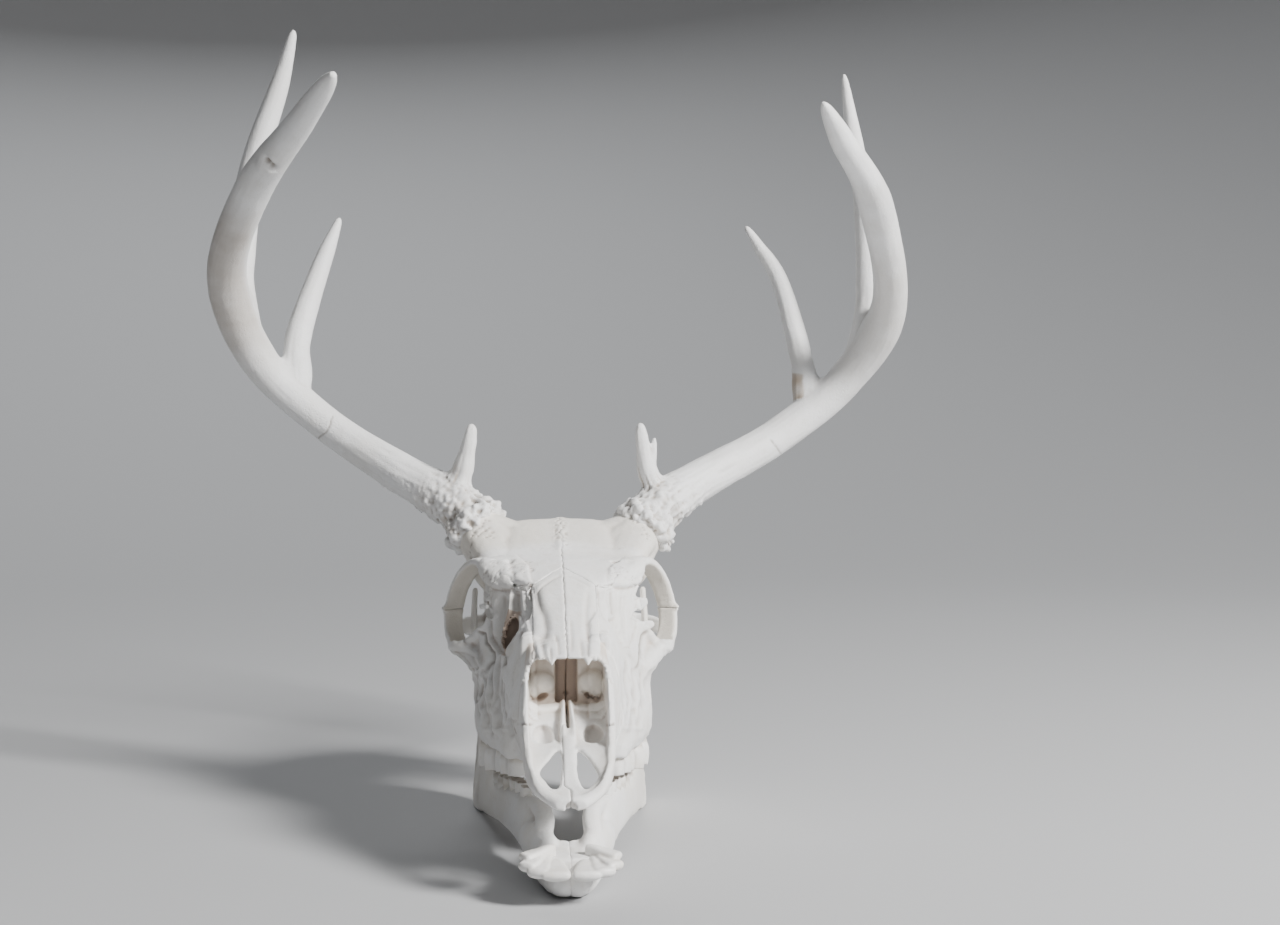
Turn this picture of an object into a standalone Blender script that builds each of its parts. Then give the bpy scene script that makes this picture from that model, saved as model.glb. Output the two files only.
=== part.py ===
"""White-tailed deer buck's skull with its jaw and eight-point antlers, life-size and still.

Every size below is in millimetres, in the skull's own frame: X is across the skull with the
animal's left side at +X, Y runs back from the tip of the upper jaw, and Z is up from the
sockets of the upper cheek teeth. finish() turns the finished pieces to metres, with the origin
on the floor under the middle of the whole skull. The nose points to -Y.

Each bone is shaped as lofts and bands that are fused and carved, then parted along its
sutures by thin blades. Each antler is a set of tubes, parted at its forks.
"""

import math
from bisect import bisect_right

import bmesh
import bpy
from mathutils import Matrix, Vector

MM = 0.001
GAP = 0.3  # between pieces that touch

# Where the skull rests: the floor passes under the chin and the two angles of the jaw.
FLOOR_Z = -44.6
MIDDLE_X = 0.7
MIDDLE_Y = 146.4

# Fineness of the fused bones: the size of the fusing grid, and triangles left on each.
FUSE_GRID = 1.3
ROUGH_TRIANGLES = 20000
CRANIUM_TRIANGLES = 3300
JAW_TRIANGLES = 610


# ---------------------------------------------------------------- smooth lines and paths

def line(*knots):
    """A smooth curve through (place, value) knots that never swings past them."""
    places = [k[0] for k in knots]
    values = [k[1] for k in knots]
    count = len(knots)
    slopes = [
        (values[i + 1] - values[i]) / (places[i + 1] - places[i]) for i in range(count - 1)
    ]
    tangents = [slopes[0]]
    for before, after in zip(slopes, slopes[1:]):
        turning = before * after <= 0
        tangents.append(0.0 if turning else 2 * before * after / (before + after))
    tangents.append(slopes[-1])

    def value(place):
        place = min(max(place, places[0]), places[-1])
        i = min(bisect_right(places, place) - 1, count - 2)
        step = places[i + 1] - places[i]
        t = (place - places[i]) / step
        start = (1 + 2 * t) * (1 - t) ** 2 * values[i] + t * (1 - t) ** 2 * step * tangents[i]
        end = t * t * (3 - 2 * t) * values[i + 1] - t * t * (1 - t) * step * tangents[i + 1]
        return start + end

    return value


def smooth_path(points, count, closed=False):
    """count points, evenly spaced along a smooth curve through the given points."""
    points = [Vector(p) for p in points]
    size = len(points)
    if closed:
        controls = [points[-1]] + points + points[:2]
        spans = size
    else:
        first = points[0] * 2 - points[1]
        last = points[-1] * 2 - points[-2]
        controls = [first] + points + [last]
        spans = size - 1
    fine = []
    for i in range(spans):
        p0, p1, p2, p3 = controls[i:i + 4]
        for k in range(24):
            t = k / 24
            fine.append(0.5 * (
                2 * p1 + (p2 - p0) * t
                + (2 * p0 - 5 * p1 + 4 * p2 - p3) * t ** 2
                + (3 * p1 - p0 - 3 * p2 + p3) * t ** 3
            ))
    fine.append(points[0].copy() if closed else points[-1].copy())
    reach = [0.0]
    for a, b in zip(fine, fine[1:]):
        reach.append(reach[-1] + (b - a).length)
    steps = count if closed else count - 1
    even = []
    for n in range(count):
        want = reach[-1] * n / steps
        i = min(bisect_right(reach, want) - 1, len(fine) - 2)
        part = (want - reach[i]) / max(reach[i + 1] - reach[i], 1e-9)
        even.append(fine[i].lerp(fine[i + 1], part))
    return even


def mirrored(point, side):
    """The point on the animal's left (side 1) or on its right (side -1)."""
    return Vector((point[0] * side, point[1], point[2]))


# ---------------------------------------------------------------- closed solids

def mesh_object(name, bm):
    """Turns a bmesh into an object whose faces point outward."""
    bmesh.ops.recalc_face_normals(bm, faces=bm.faces)
    mesh = bpy.data.meshes.new(name)
    bm.to_mesh(mesh)
    bm.free()
    if signed_volume(mesh) < 0:
        mesh.flip_normals()
    obj = bpy.data.objects.new(name, mesh)
    bpy.context.scene.collection.objects.link(obj)
    return obj


def signed_volume(mesh):
    mesh.calc_loop_triangles()
    total = 0.0
    for tri in mesh.loop_triangles:
        a, b, c = (mesh.vertices[i].co for i in tri.vertices)
        total += a.dot(b.cross(c)) / 6
    return total


def loft(name, rings, closed=False):
    """A solid skinned over rings of equal count; open lofts get flat ends."""
    bm = bmesh.new()
    rows = [[bm.verts.new(p) for p in ring] for ring in rings]
    count = len(rows[0])
    pairs = list(zip(rows, rows[1:]))
    if closed:
        pairs.append((rows[-1], rows[0]))
    for near, far in pairs:
        for i in range(count):
            j = (i + 1) % count
            bm.faces.new((near[i], near[j], far[j], far[i]))
    if not closed:
        bm.faces.new(rows[0])
        bm.faces.new(rows[-1])
    bmesh.ops.triangulate(bm, faces=[f for f in bm.faces if len(f.verts) > 4])
    return mesh_object(name, bm)


def mirrored_ring(y, half, per_half=12):
    """A ring across the skull at y, from its half outline of (x, z) from bottom to top."""
    side = smooth_path([Vector((x, 0, z)) for x, z in half], per_half)
    right = [Vector((p.x, y, p.z)) for p in side]
    left = [Vector((-p.x, y, p.z)) for p in side[1:-1]]
    return right + left[::-1]


def oval_ring(centre, wide, tall, sides, power=2.0):
    """A ring round centre spanned by the vectors wide and tall; power 2 is an ellipse."""
    ring = []
    for k in range(sides):
        turn = 2 * math.pi * k / sides
        c = math.copysign(abs(math.cos(turn)) ** (2 / power), math.cos(turn))
        s = math.copysign(abs(math.sin(turn)) ** (2 / power), math.sin(turn))
        ring.append(centre + wide * c + tall * s)
    return ring


def directions(points, closed=False):
    """The unit direction of travel at each point of a path."""
    count = len(points)
    found = []
    for i in range(count):
        if closed:
            step = points[(i + 1) % count] - points[i - 1]
        else:
            step = points[min(i + 1, count - 1)] - points[max(i - 1, 0)]
        found.append(step.normalized())
    return found


def tube(name, path, radius, sides, first=0.0, last=1.0):
    """A round tube along part of a path; radius is read at 0 to 1 along the whole of it."""
    turn_free = Vector((0.31, 0.24, 0.92))
    steps = len(path) - 1
    headings = directions(path)
    rings = []
    for i, (centre, heading) in enumerate(zip(path, headings)):
        place = i / steps
        side = (turn_free - heading * turn_free.dot(heading)).normalized()
        turn_free = side
        over = heading.cross(side)
        if first - 1e-6 <= place <= last + 1e-6:
            r = radius(place)
            rings.append(oval_ring(centre, side * r, over * r, sides))
    return loft(name, rings)


def band(name, path, wide_way, half_wide, half_thick, sides=10, closed=False, power=2.4):
    """A flattened bar along a path, widest toward wide_way; sizes are read at 0 to 1."""
    steps = len(path) if closed else len(path) - 1
    wide_way = Vector(wide_way)
    rings = []
    for i, (centre, heading) in enumerate(zip(path, directions(path, closed))):
        place = i / steps
        wide = (wide_way - heading * wide_way.dot(heading)).normalized()
        thick = heading.cross(wide)
        rings.append(oval_ring(
            centre, wide * half_wide(place), thick * half_thick(place), sides, power
        ))
    return loft(name, rings, closed)


def ball(name, centre, radii, turn=None):
    """An ellipsoid, with an optional (angle in degrees, axis) turn about its centre."""
    bm = bmesh.new()
    bmesh.ops.create_uvsphere(bm, u_segments=16, v_segments=10, radius=1.0)
    place = Matrix.Translation(Vector(centre))
    if turn:
        place = place @ Matrix.Rotation(math.radians(turn[0]), 4, turn[1])
    bmesh.ops.transform(bm, matrix=place @ Matrix.Diagonal((*radii, 1.0)), verts=bm.verts)
    return mesh_object(name, bm)


def blade(name, rows):
    """A bent blade GAP thick through rows of points, for parting a bone."""
    bm = bmesh.new()
    grid = [[bm.verts.new(p) for p in row] for row in rows]
    for near, far in zip(grid, grid[1:]):
        for i in range(len(near) - 1):
            bm.faces.new((near[i], near[i + 1], far[i + 1], far[i]))
    bmesh.ops.triangulate(bm, faces=bm.faces)
    sheet = mesh_object(name, bm)
    thick = sheet.modifiers.new("thick", "SOLIDIFY")
    thick.thickness = GAP
    thick.offset = 0
    thick.use_even_offset = True
    apply_modifiers(sheet)
    return sheet


def cross_blade(name, profile, low, high):
    """A blade with a (y, z) profile, run across the skull from x low to x high."""
    return blade(name, [[(x, y, z) for y, z in profile] for x in (low, high)])


# ---------------------------------------------------------------- fusing, carving, parting

def apply_modifiers(obj):
    evaluated = obj.evaluated_get(bpy.context.evaluated_depsgraph_get())
    mesh = bpy.data.meshes.new_from_object(evaluated)
    old = obj.data
    obj.modifiers.clear()
    obj.data = mesh
    bpy.data.meshes.remove(old)


def drop(obj):
    mesh = obj.data
    bpy.data.objects.remove(obj)
    bpy.data.meshes.remove(mesh)


def joined(name, objects):
    """One object holding the meshes of all the given ones."""
    bm = bmesh.new()
    for obj in objects:
        bm.from_mesh(obj.data)
    for obj in objects:
        drop(obj)
    mesh = bpy.data.meshes.new(name)
    bm.to_mesh(mesh)
    bm.free()
    whole = bpy.data.objects.new(name, mesh)
    bpy.context.scene.collection.objects.link(whole)
    return whole


def thin_out(obj, triangles):
    """The same shape on fewer triangles."""
    obj.data.calc_loop_triangles()
    thin = obj.modifiers.new("thin", "DECIMATE")
    thin.ratio = min(1.0, triangles / len(obj.data.loop_triangles))
    thin.use_collapse_triangulate = True
    apply_modifiers(obj)


def fuse(obj, smoothing):
    """Makes overlapping solids in one mesh into one solid on a fine grid, and smooths it."""
    remesh = obj.modifiers.new("fuse", "REMESH")
    remesh.mode = "VOXEL"
    remesh.voxel_size = FUSE_GRID
    apply_modifiers(obj)
    smooth = obj.modifiers.new("smooth", "SMOOTH")
    smooth.factor = 0.5
    smooth.iterations = smoothing
    apply_modifiers(obj)
    keep_largest(obj)


def boolean(obj, cutter, operation="DIFFERENCE"):
    """Cuts or joins with the cutter, which is removed afterwards."""
    cut = obj.modifiers.new("cut", "BOOLEAN")
    cut.operation = operation
    cut.object = cutter
    cut.solver = "EXACT"
    apply_modifiers(obj)
    drop(cutter)


def loose_pieces(mesh):
    """The vertex indices of each separate body in a mesh, largest first."""
    bm = bmesh.new()
    bm.from_mesh(mesh)
    seen = set()
    pieces = []
    for start in bm.verts:
        if start.index in seen:
            continue
        piece = []
        queue = [start]
        seen.add(start.index)
        while queue:
            vert = queue.pop()
            piece.append(vert.index)
            for edge in vert.link_edges:
                other = edge.other_vert(vert)
                if other.index not in seen:
                    seen.add(other.index)
                    queue.append(other)
        pieces.append(piece)
    bm.free()
    pieces.sort(key=len, reverse=True)
    return pieces


def keep_only(obj, indices):
    wanted = set(indices)
    bm = bmesh.new()
    bm.from_mesh(obj.data)
    bmesh.ops.delete(bm, geom=[v for v in bm.verts if v.index not in wanted], context="VERTS")
    bm.to_mesh(obj.data)
    bm.free()


def keep_largest(obj):
    keep_only(obj, loose_pieces(obj.data)[0])


def parted(obj, cutter, names):
    """Cuts obj with a blade and names the bodies by the first test that each one passes.

    names maps each new name to a test on a body's mean point. The largest body that passes
    a test gets the name; crumbs that the blade leaves are dropped.
    """
    boolean(obj, cutter)
    pieces = loose_pieces(obj.data)
    middles = []
    for piece in pieces:
        points = [obj.data.vertices[i].co for i in piece]
        middles.append(sum(points, Vector()) / len(points))
    made = {}
    for name, test in names.items():
        for piece, middle in zip(pieces, middles):
            if test(middle):
                mesh = obj.data.copy()
                bone = bpy.data.objects.new(name, mesh)
                bpy.context.scene.collection.objects.link(bone)
                keep_only(bone, piece)
                made[name] = bone
                break
    drop(obj)
    return made


# ---------------------------------------------------------------- cranium

# Midline of the roof of the skull, seen from the side.
ROOF_Z = line((0, 1), (8, 4), (20, 10), (35, 19), (50, 31), (60, 43), (66, 53), (80, 58.5),
              (100, 66.5), (120, 74.5), (143, 83.5), (157, 87), (172, 89.5), (190, 96),
              (210, 104), (222, 101.5), (240, 94), (262, 82), (276, 68), (284, 56))

SNOUT_START = 0.5
SNOUT_END = 163

PALATE_Z = line((0, -4.4), (8, -4), (14, -1.5), (36, 11.5), (50, 14), (62, 13), (80, 9),
                (100, 6.5), (150, 5.5), (157, 9), (163, 26))
SOCKET_X = line((0, 5), (4, 10), (8, 13), (20, 16.5), (35, 17.5), (62, 17), (74, 20),
                (80, 27), (100, 30.5), (120, 36.5), (135, 39.5), (150, 38.5), (157, 36.5),
                (163, 33))
SOCKET_Z = line((0, -3.6), (8, 0), (35, 1.5), (60, 3.5), (72, 3), (80, 0), (150, 0), (157, 5),
                (163, 24))
CHEEK_X = line((0, 6), (8, 14.2), (20, 17.6), (35, 19.8), (50, 20.6), (66, 22), (80, 27),
               (100, 32.5), (120, 38.5), (135, 41.6), (150, 42.5), (163, 44))
CHEEK_Z = line((0, -2), (8, 2.5), (20, 6), (35, 11), (50, 17), (66, 19), (80, 15), (100, 18),
               (135, 23), (157, 30), (163, 38))
FLANK_X = line((0, 5.5), (8, 13.8), (20, 17.4), (35, 19.8), (50, 20.5), (60, 20.6), (66, 21),
               (80, 22.5), (100, 24.5), (120, 27), (135, 30), (150, 37), (163, 42))
FLANK_Z = line((0, -1), (8, 3), (20, 8), (35, 16.5), (50, 27), (60, 36), (66, 38), (80, 41),
               (100, 46), (120, 53), (135, 58), (163, 64))
SHOULDER_X = line((0, 4), (8, 12.6), (20, 16.4), (35, 18.8), (50, 19.2), (60, 18.2), (68, 15.5),
                  (80, 14.5), (100, 14.5), (120, 15.5), (135, 19), (150, 31), (163, 39))
SHOULDER_Z = line((0, 0.5), (8, 3.8), (20, 9.8), (35, 18.6), (50, 30.5), (60, 41), (68, 50.5),
                  (80, 55.5), (100, 63), (120, 71), (135, 76.5), (150, 80), (163, 84))


def snout():
    """The upper jaw from the tip to the front of the orbits, without its hollows."""
    rings = []
    steps = 44
    for i in range(steps + 1):
        y = SNOUT_START + (SNOUT_END - SNOUT_START) * i / steps
        rings.append(mirrored_ring(y, [
            (0, PALATE_Z(y)),
            (SOCKET_X(y) * 0.62, (PALATE_Z(y) * 2 + SOCKET_Z(y)) / 3),
            (SOCKET_X(y), SOCKET_Z(y)),
            (CHEEK_X(y), CHEEK_Z(y)),
            (FLANK_X(y), FLANK_Z(y)),
            (SHOULDER_X(y), SHOULDER_Z(y)),
            (SHOULDER_X(y) * 0.5, (SHOULDER_Z(y) + 2 * ROOF_Z(y)) / 3),
            (0, ROOF_Z(y)),
        ]))
    return loft("snout", rings)


NASAL_TIP_Y = 57.5
NASAL_HALF_WIDTH = line((57, 9.5), (66, 12.5), (80, 13.5))


def nasal_overhang():
    """The free front ends of the nasal bones, over the nose opening."""
    rings = []
    for i in range(9):
        y = NASAL_TIP_Y + 20 * i / 8
        top = 50.5 + (ROOF_Z(80) - 50.5) * (y - NASAL_TIP_Y) / (80 - NASAL_TIP_Y)
        wide = NASAL_HALF_WIDTH(y)
        rings.append(mirrored_ring(y, [
            (0, top - 3.6),
            (wide * 0.6, top - 4.6),
            (wide, top - 5.4),
            (wide + 0.6, top - 3.6),
            (wide * 0.7, top - 1.2),
            (0, top),
        ], 8))
    return loft("nasal_overhang", rings)


ROOF_START = 136
ROOF_END = 224
ROOF_HALF_WIDTH = line((136, 18), (150, 32), (160, 39), (172, 42), (186, 44), (198, 43.5),
                       (212, 40), (224, 30))
ROOF_EDGE_Z = line((136, 76), (150, 80), (160, 83.5), (172, 85.5), (186, 85), (198, 89),
                   (212, 96), (224, 90))
ROOF_SIDE_Z = line((136, 77), (150, 82.8), (160, 85.8), (172, 87.6), (190, 94.6), (210, 102.4),
                   (224, 98))


def roof():
    """The two frontals' roof between and over the orbits."""
    rings = []
    for i in range(23):
        y = ROOF_START + (ROOF_END - ROOF_START) * i / 22
        wide = ROOF_HALF_WIDTH(y)
        edge = ROOF_EDGE_Z(y)
        top = ROOF_Z(y)
        rings.append(mirrored_ring(y, [
            (0, top - 18),
            (wide * 0.6, edge - 10),
            (wide - 1, edge - 5),
            (wide, edge - 1.5),
            (wide - 3, edge + 1),
            (wide * 0.55, ROOF_SIDE_Z(y)),
            (0, top),
        ]))
    return loft("roof", rings)


WALL_HALF_WIDTH = line((140, 27), (152, 24), (162, 18), (176, 16), (190, 19), (205, 29),
                       (220, 35))
WALL_LOW_Z = line((140, 12), (165, 30), (185, 36), (205, 34), (220, 32))


def orbit_walls():
    """The block between the orbits that carries the roof."""
    rings = []
    for i in range(21):
        y = 140 + 80 * i / 20
        low = WALL_LOW_Z(y)
        high = ROOF_Z(y) - 6
        centre = Vector((0, y, (low + high) / 2))
        rings.append(oval_ring(
            centre, Vector((WALL_HALF_WIDTH(y), 0, 0)), Vector((0, 0, (high - low) / 2)), 20, 3.0
        ))
    return loft("orbit_walls", rings)


CASE_HALF_WIDTH = line((196, 20), (206, 31), (218, 37), (236, 39.5), (252, 38.5), (265, 34),
                       (274, 26), (280, 16))
CASE_LOW_Z = line((196, 40), (210, 34), (235, 30), (262, 28), (274, 30), (280, 34))


def brain_case():
    """The braincase from behind the orbits to the back of the head."""
    rings = []
    for i in range(29):
        y = 196 + 84 * i / 28
        low = CASE_LOW_Z(y)
        high = ROOF_Z(y) - 1.5
        centre = Vector((0, y, (low + high) / 2))
        rings.append(oval_ring(
            centre, Vector((CASE_HALF_WIDTH(y), 0, 0)), Vector((0, 0, (high - low) / 2)), 24, 2.3
        ))
    return loft("brain_case", rings)


def nuchal_crest():
    """The ridge round the back of the head, where the neck held on."""
    path = smooth_path([(-34, 259, 46), (-30, 266, 60), (-16, 272, 67.5), (0, 275, 67.5),
                        (16, 272, 67.5), (30, 266, 60), (34, 259, 46)], 25)
    return band("nuchal_crest", path, (0, 1, 0.3), line((0, 3), (0.5, 5), (1, 3)),
                line((0, 3), (0.5, 3.4), (1, 3)))


def back_of_head():
    """The condyles, the two spurs beside them, the ear bones and the bar under the case."""
    made = [band("base_bar", smooth_path([(0, 172, 37), (0, 210, 33), (0, 245, 30),
                                          (0, 276, 33)], 20),
                 (1, 0, 0), line((0, 7), (0.6, 9), (1, 12)), line((0, 4), (1, 5)), 12)]
    for side in (-1, 1):
        made.append(ball("condyle", mirrored((13, 280.5, 39), side), (8.5, 7, 10.5),
                         (18 * side, "Y")))
        spur = smooth_path([mirrored(p, side) for p in ((29, 262, 44), (29, 266, 28),
                                                        (27.5, 267, 14))], 8)
        made.append(band("spur", spur, (1, 0.3, 0), line((0, 8), (1, 3)),
                         line((0, 5.5), (1, 2.2))))
        made.append(ball("ear_bone", mirrored((21, 248, 25), side), (8, 11, 7.5),
                         (20 * side, "Z")))
        made.append(ball("ear_opening", mirrored((35, 249, 44), side), (6.5, 7, 7)))
        wing = smooth_path([mirrored(p, side) for p in ((12, 158, 18), (13, 176, 20),
                                                        (13, 198, 27))], 9)
        made.append(band("palate_wing", wing, (0, 0, 1), line((0, 9), (0.5, 11), (1, 9)),
                         line((0, 2.6), (1, 2.2))))
    return made


ORBIT_CENTRE = Vector((43.6, 172.5, 63.5))
ORBIT_RADIUS = 21
ORBIT_FORWARD = 26  # degrees that each orbit looks forward of straight sideways
ORBIT_UPWARD = 14


def orbit_axes(side):
    """The way an orbit looks, its backward way and its upward way."""
    forward = math.radians(ORBIT_FORWARD)
    upward = math.radians(ORBIT_UPWARD)
    out = Vector((math.cos(forward) * math.cos(upward), -math.sin(forward) * math.cos(upward),
                  math.sin(upward)))
    back = Vector((math.sin(forward), math.cos(forward), 0))
    up = out.cross(back)
    if up.z < 0:
        up.negate()
    return mirrored(out, side), mirrored(back, side), mirrored(up, side)


def orbit_ring(side):
    """The rim round the eye; its rear part is the free bar behind the eye."""
    out, back, up = orbit_axes(side)
    centre = mirrored(ORBIT_CENTRE, side)
    path = []
    for k in range(36):
        turn = 2 * math.pi * k / 36
        path.append(centre + (back * math.cos(turn) + up * math.sin(turn)) * ORBIT_RADIUS)
    wide = line((0, 5.2), (0.25, 5), (0.5, 4), (0.75, 5.5), (1, 5.2))
    thick = line((0, 2.1), (0.2, 2.8), (0.5, 3), (0.75, 3.4), (0.9, 2.6), (1, 2.1))
    return band("orbit_ring", path, out, wide, thick, 10, closed=True)


CHEEKBONE = ((37, 140, 33), (44, 153, 38), (51.5, 167, 41.5), (54, 184, 43), (54.2, 204, 45),
             (52.5, 220, 46.5), (47, 233, 47), (37, 242, 47))


def cheekbone(side):
    """The cheekbone under the eye and its arch back to the braincase."""
    path = smooth_path([mirrored(p, side) for p in CHEEKBONE], 30)
    return band("cheekbone", path, (0, 0, 1),
                line((0, 6), (0.2, 5.5), (0.35, 5), (0.5, 4.6), (0.75, 4), (1, 5)),
                line((0, 5), (0.15, 4.5), (0.35, 3.2), (0.5, 2.4), (0.75, 2.3), (1, 4)))


def jaw_hinge(side):
    """The flat bearing of the lower jaw, at the root of the arch."""
    return ball("jaw_hinge", mirrored((41, 238, 44.5), side), (12, 9, 4.5))


PEDICLE_ROOT = (31, 203, 84)
BURR_CENTRE = (42, 214, 98)
PEDICLE_RADIUS = 13


def pedicle(side):
    """The bony post that carries an antler."""
    root = mirrored(PEDICLE_ROOT, side)
    top = mirrored(BURR_CENTRE, side)
    path = [root.lerp(top, k / 4) for k in range(5)]
    return tube("pedicle", path, line((0, 15), (0.6, 13.2), (1, 12.6)), 16)


# Upper cheek teeth: distance of each from the tip, its length and width, and crown depth.
UPPER_TEETH = ((84, 11, 9.5, 4.2), (95.5, 11, 11, 5.6), (106.5, 10, 12, 7),
               (119, 13.5, 13.5, 8.6), (133.5, 14, 14.5, 9.4), (148.5, 14.5, 14, 8.8))
LOWER_TEETH = ((83, 8.5, 5.5, 5.6), (93.5, 10.5, 6.5, 5.8), (104.5, 10.5, 7.5, 6),
               (117.5, 13, 8.5, 6.2), (132, 14, 9, 6.4), (149, 18, 8.5, 6.2))


def tooth_lobe(name, centre, half_wide, half_long, low, high):
    """One upright lobe of a cheek tooth, slightly narrower at its crown."""
    rings = []
    for z, grow in ((low, 0.86), (low + (high - low) * 0.25, 1.0), (high, 0.9)):
        middle = Vector((centre.x, centre.y, z))
        rings.append(oval_ring(middle, Vector((half_wide * grow, 0, 0)),
                               Vector((0, half_long * grow, 0)), 10, 3.2))
    return loft(name, rings)


def upper_teeth(side):
    made = []
    for y, long, wide, deep in UPPER_TEETH:
        lobes = 1 if y < 110 else 2
        for k in range(lobes):
            along = y + (k - (lobes - 1) / 2) * long / lobes
            centre = mirrored((SOCKET_X(along) - wide / 2 - 0.3, along, 0), side)
            made.append(tooth_lobe("upper_tooth", centre, wide / 2, long / lobes / 2 + 0.1,
                                   -deep, 8))
    return made


def nose_cavity():
    """The hollow of the nose, open at the front and the top of the muzzle."""
    half_width = line((4, 6), (9, 10.5), (16, 14), (28, 16.8), (62, 17.6), (100, 15))
    floor = line((4, 1.6), (14, 3.5), (36, 15.5), (50, 18), (64, 25), (76, 29), (100, 30))
    ceiling = line((4, 30), (50, 60), (60, 60), (61, 51), (64, 46.5), (80, 51), (100, 57))
    rings = []
    for i in range(25):
        y = 4 + 96 * i / 24
        half = half_width(y)
        low = floor(y)
        high = ceiling(y)
        rings.append([Vector((x, y, z)) for x, z in (
            (-half * 0.8, low), (half * 0.8, low), (half, low + 3.5), (half, high - 5),
            (half * 0.72, high), (-half * 0.72, high), (-half, high - 5), (-half, low + 3.5),
        )])
    return loft("nose_cavity", rings)


SLOT_OUTLINE = ((3.9, 16.8), (3.5, 12.5), (3.8, 4.5), (5, 1.2), (7.5, 0.4), (11, 4), (12.6, 7),
                (8.9, 12.2))  # (x, z) where the slots cross y = 26
SLOT_FALL = 0.187  # how steeply the slots run down and back


def palate_slots():
    """The two openings through the sloping front of the palate."""
    made = []
    for side in (-1, 1):
        rings = [[mirrored((x, y, z - SLOT_FALL * (y - 26)), side) for x, z in SLOT_OUTLINE]
                 for y in (3, 70)]
        made.append(loft("palate_slot", rings))
    return made


def orbit_hollow(side):
    """The socket of an eye, running in from its rim toward the middle of the skull."""
    out, back, up = orbit_axes(side)
    centre = mirrored(ORBIT_CENTRE, side)
    rings = []
    for reach, size in ((26, 19.6), (4, 19.2), (-8, 18.6), (-20, 16.5), (-29, 13)):
        middle = centre + out * reach - up * (0.04 * max(-reach, 0))
        rings.append(oval_ring(middle, back * size, up * size, 24))
    return loft("orbit_hollow", rings)


def face_pit(side):
    """The gap in front of the eye, between the nasal, frontal and cheek bones."""
    path = smooth_path([mirrored(p, side) for p in ((19.5, 147, 73), (20.5, 136, 68),
                                                    (24.5, 122, 57))], 9)
    return band("face_pit", path, mirrored((0.8, -0.2, 0.55), side),
                line((0, 5), (0.5, 5.5), (1, 3)), line((0, 4), (0.5, 3.6), (1, 2)), 10)


def tear_pit(side):
    """The hollow of the scent gland in front of the orbit."""
    return ball("tear_pit", mirrored((41, 140, 63), side), (9, 10, 9))


def throat():
    """The passage from the nose, open behind the palate, and the hole for the spinal cord."""
    passage = ball("passage", (0, 186, 24), (9.5, 26, 8.5), (8, "X"))
    cord_path = [Vector((0, y, z)) for y, z in ((300, 49), (284, 50), (258, 53))]
    cord_hole = tube("cord_hole", cord_path, line((0, 10.5), (0.5, 10), (1, 8.5)), 14)
    return [passage, cord_hole]


def vomer():
    """The keel that stands along the middle of the nose, and the scroll bones beside it."""
    path = smooth_path([(0, 35, 11), (0, 52, 18.5), (0, 72, 26.5), (0, 104, 28)], 16)
    made = [band("vomer", path, (0, 0, 1), line((0, 3.5), (0.5, 4.5), (1, 5)),
                 line((0, 3.2), (0.5, 2.6), (1, 2.4)), 8)]
    for side in (-1, 1):
        scroll = smooth_path([mirrored(p, side) for p in ((11.5, 74, 37.5), (12, 88, 39),
                                                          (11, 106, 40))], 8)
        made.append(band("scroll", scroll, (0, 0, 1), line((0, 4.5), (0.4, 8), (1, 9)),
                         line((0, 3), (0.4, 4.5), (1, 5)), 10))
    return made


def cranium():
    """The whole upper skull as one carved solid."""
    solids = [snout(), nasal_overhang(), roof(), orbit_walls(), brain_case(), nuchal_crest()]
    solids += back_of_head()
    for side in (-1, 1):
        solids += [orbit_ring(side), cheekbone(side), jaw_hinge(side), pedicle(side)]
        solids += upper_teeth(side)
    whole = joined("cranium", solids)
    fuse(whole, 2)
    thin_out(whole, ROUGH_TRIANGLES)
    hollows = [nose_cavity()] + palate_slots() + throat()
    for side in (-1, 1):
        hollows += [orbit_hollow(side), face_pit(side), tear_pit(side)]
    for hollow in hollows:
        boolean(whole, hollow)
    for fitting in vomer():
        boolean(whole, fitting, "UNION")
    fuse(whole, 1)
    thin_out(whole, CRANIUM_TRIANGLES)
    for side in (-1, 1):
        boolean(whole, antler_cutter(side))
    keep_largest(whole)
    return whole


CORONAL_CUT = ((228, 140), (228, 87), (207, 76), (207, 60), (166, 60), (166, -30))
ARCH_CUT = ((214, 20), (211, 70))
FRONTAL_CUT = ((170, 58), (163, 62), (154, 72), (147.5, 82), (146, 110))
PREMAXILLA_CUT = ((60, -30), (66, 4), (98, 70))
NASAL_HALF = 15.2  # the seam beside each nasal bone
NASAL_DEPTH = 5.0
NASAL_SLOPE = 0.395
NASAL_BACK_SLANT = 17  # how much farther forward the nasals' rear seam lies at their sides


def frontal_blade():
    """Between the frontals and the face; it runs forward at each side of the nasals."""
    rows = []
    for x in (-80, -NASAL_HALF, 0, NASAL_HALF, 80):
        forward = NASAL_BACK_SLANT * min(abs(x) / NASAL_HALF, 1)
        rows.append([(x, y - forward * min(max((z - 62) / 12, 0), 1), z)
                     for y, z in FRONTAL_CUT])
    return blade("frontal_blade", rows)


def nasal_blade(side):
    """Down the side of a nasal bone and in under it, along the slope of the nose."""
    rows = []
    for y in (40, 175):
        roof_line = 51 + NASAL_SLOPE * (y - 60)
        rows.append([mirrored((x, y, roof_line + z), side) for x, z in (
            (NASAL_HALF, 20), (NASAL_HALF, -NASAL_DEPTH), (-4, -NASAL_DEPTH))])
    return blade("nasal_blade", rows)


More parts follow.
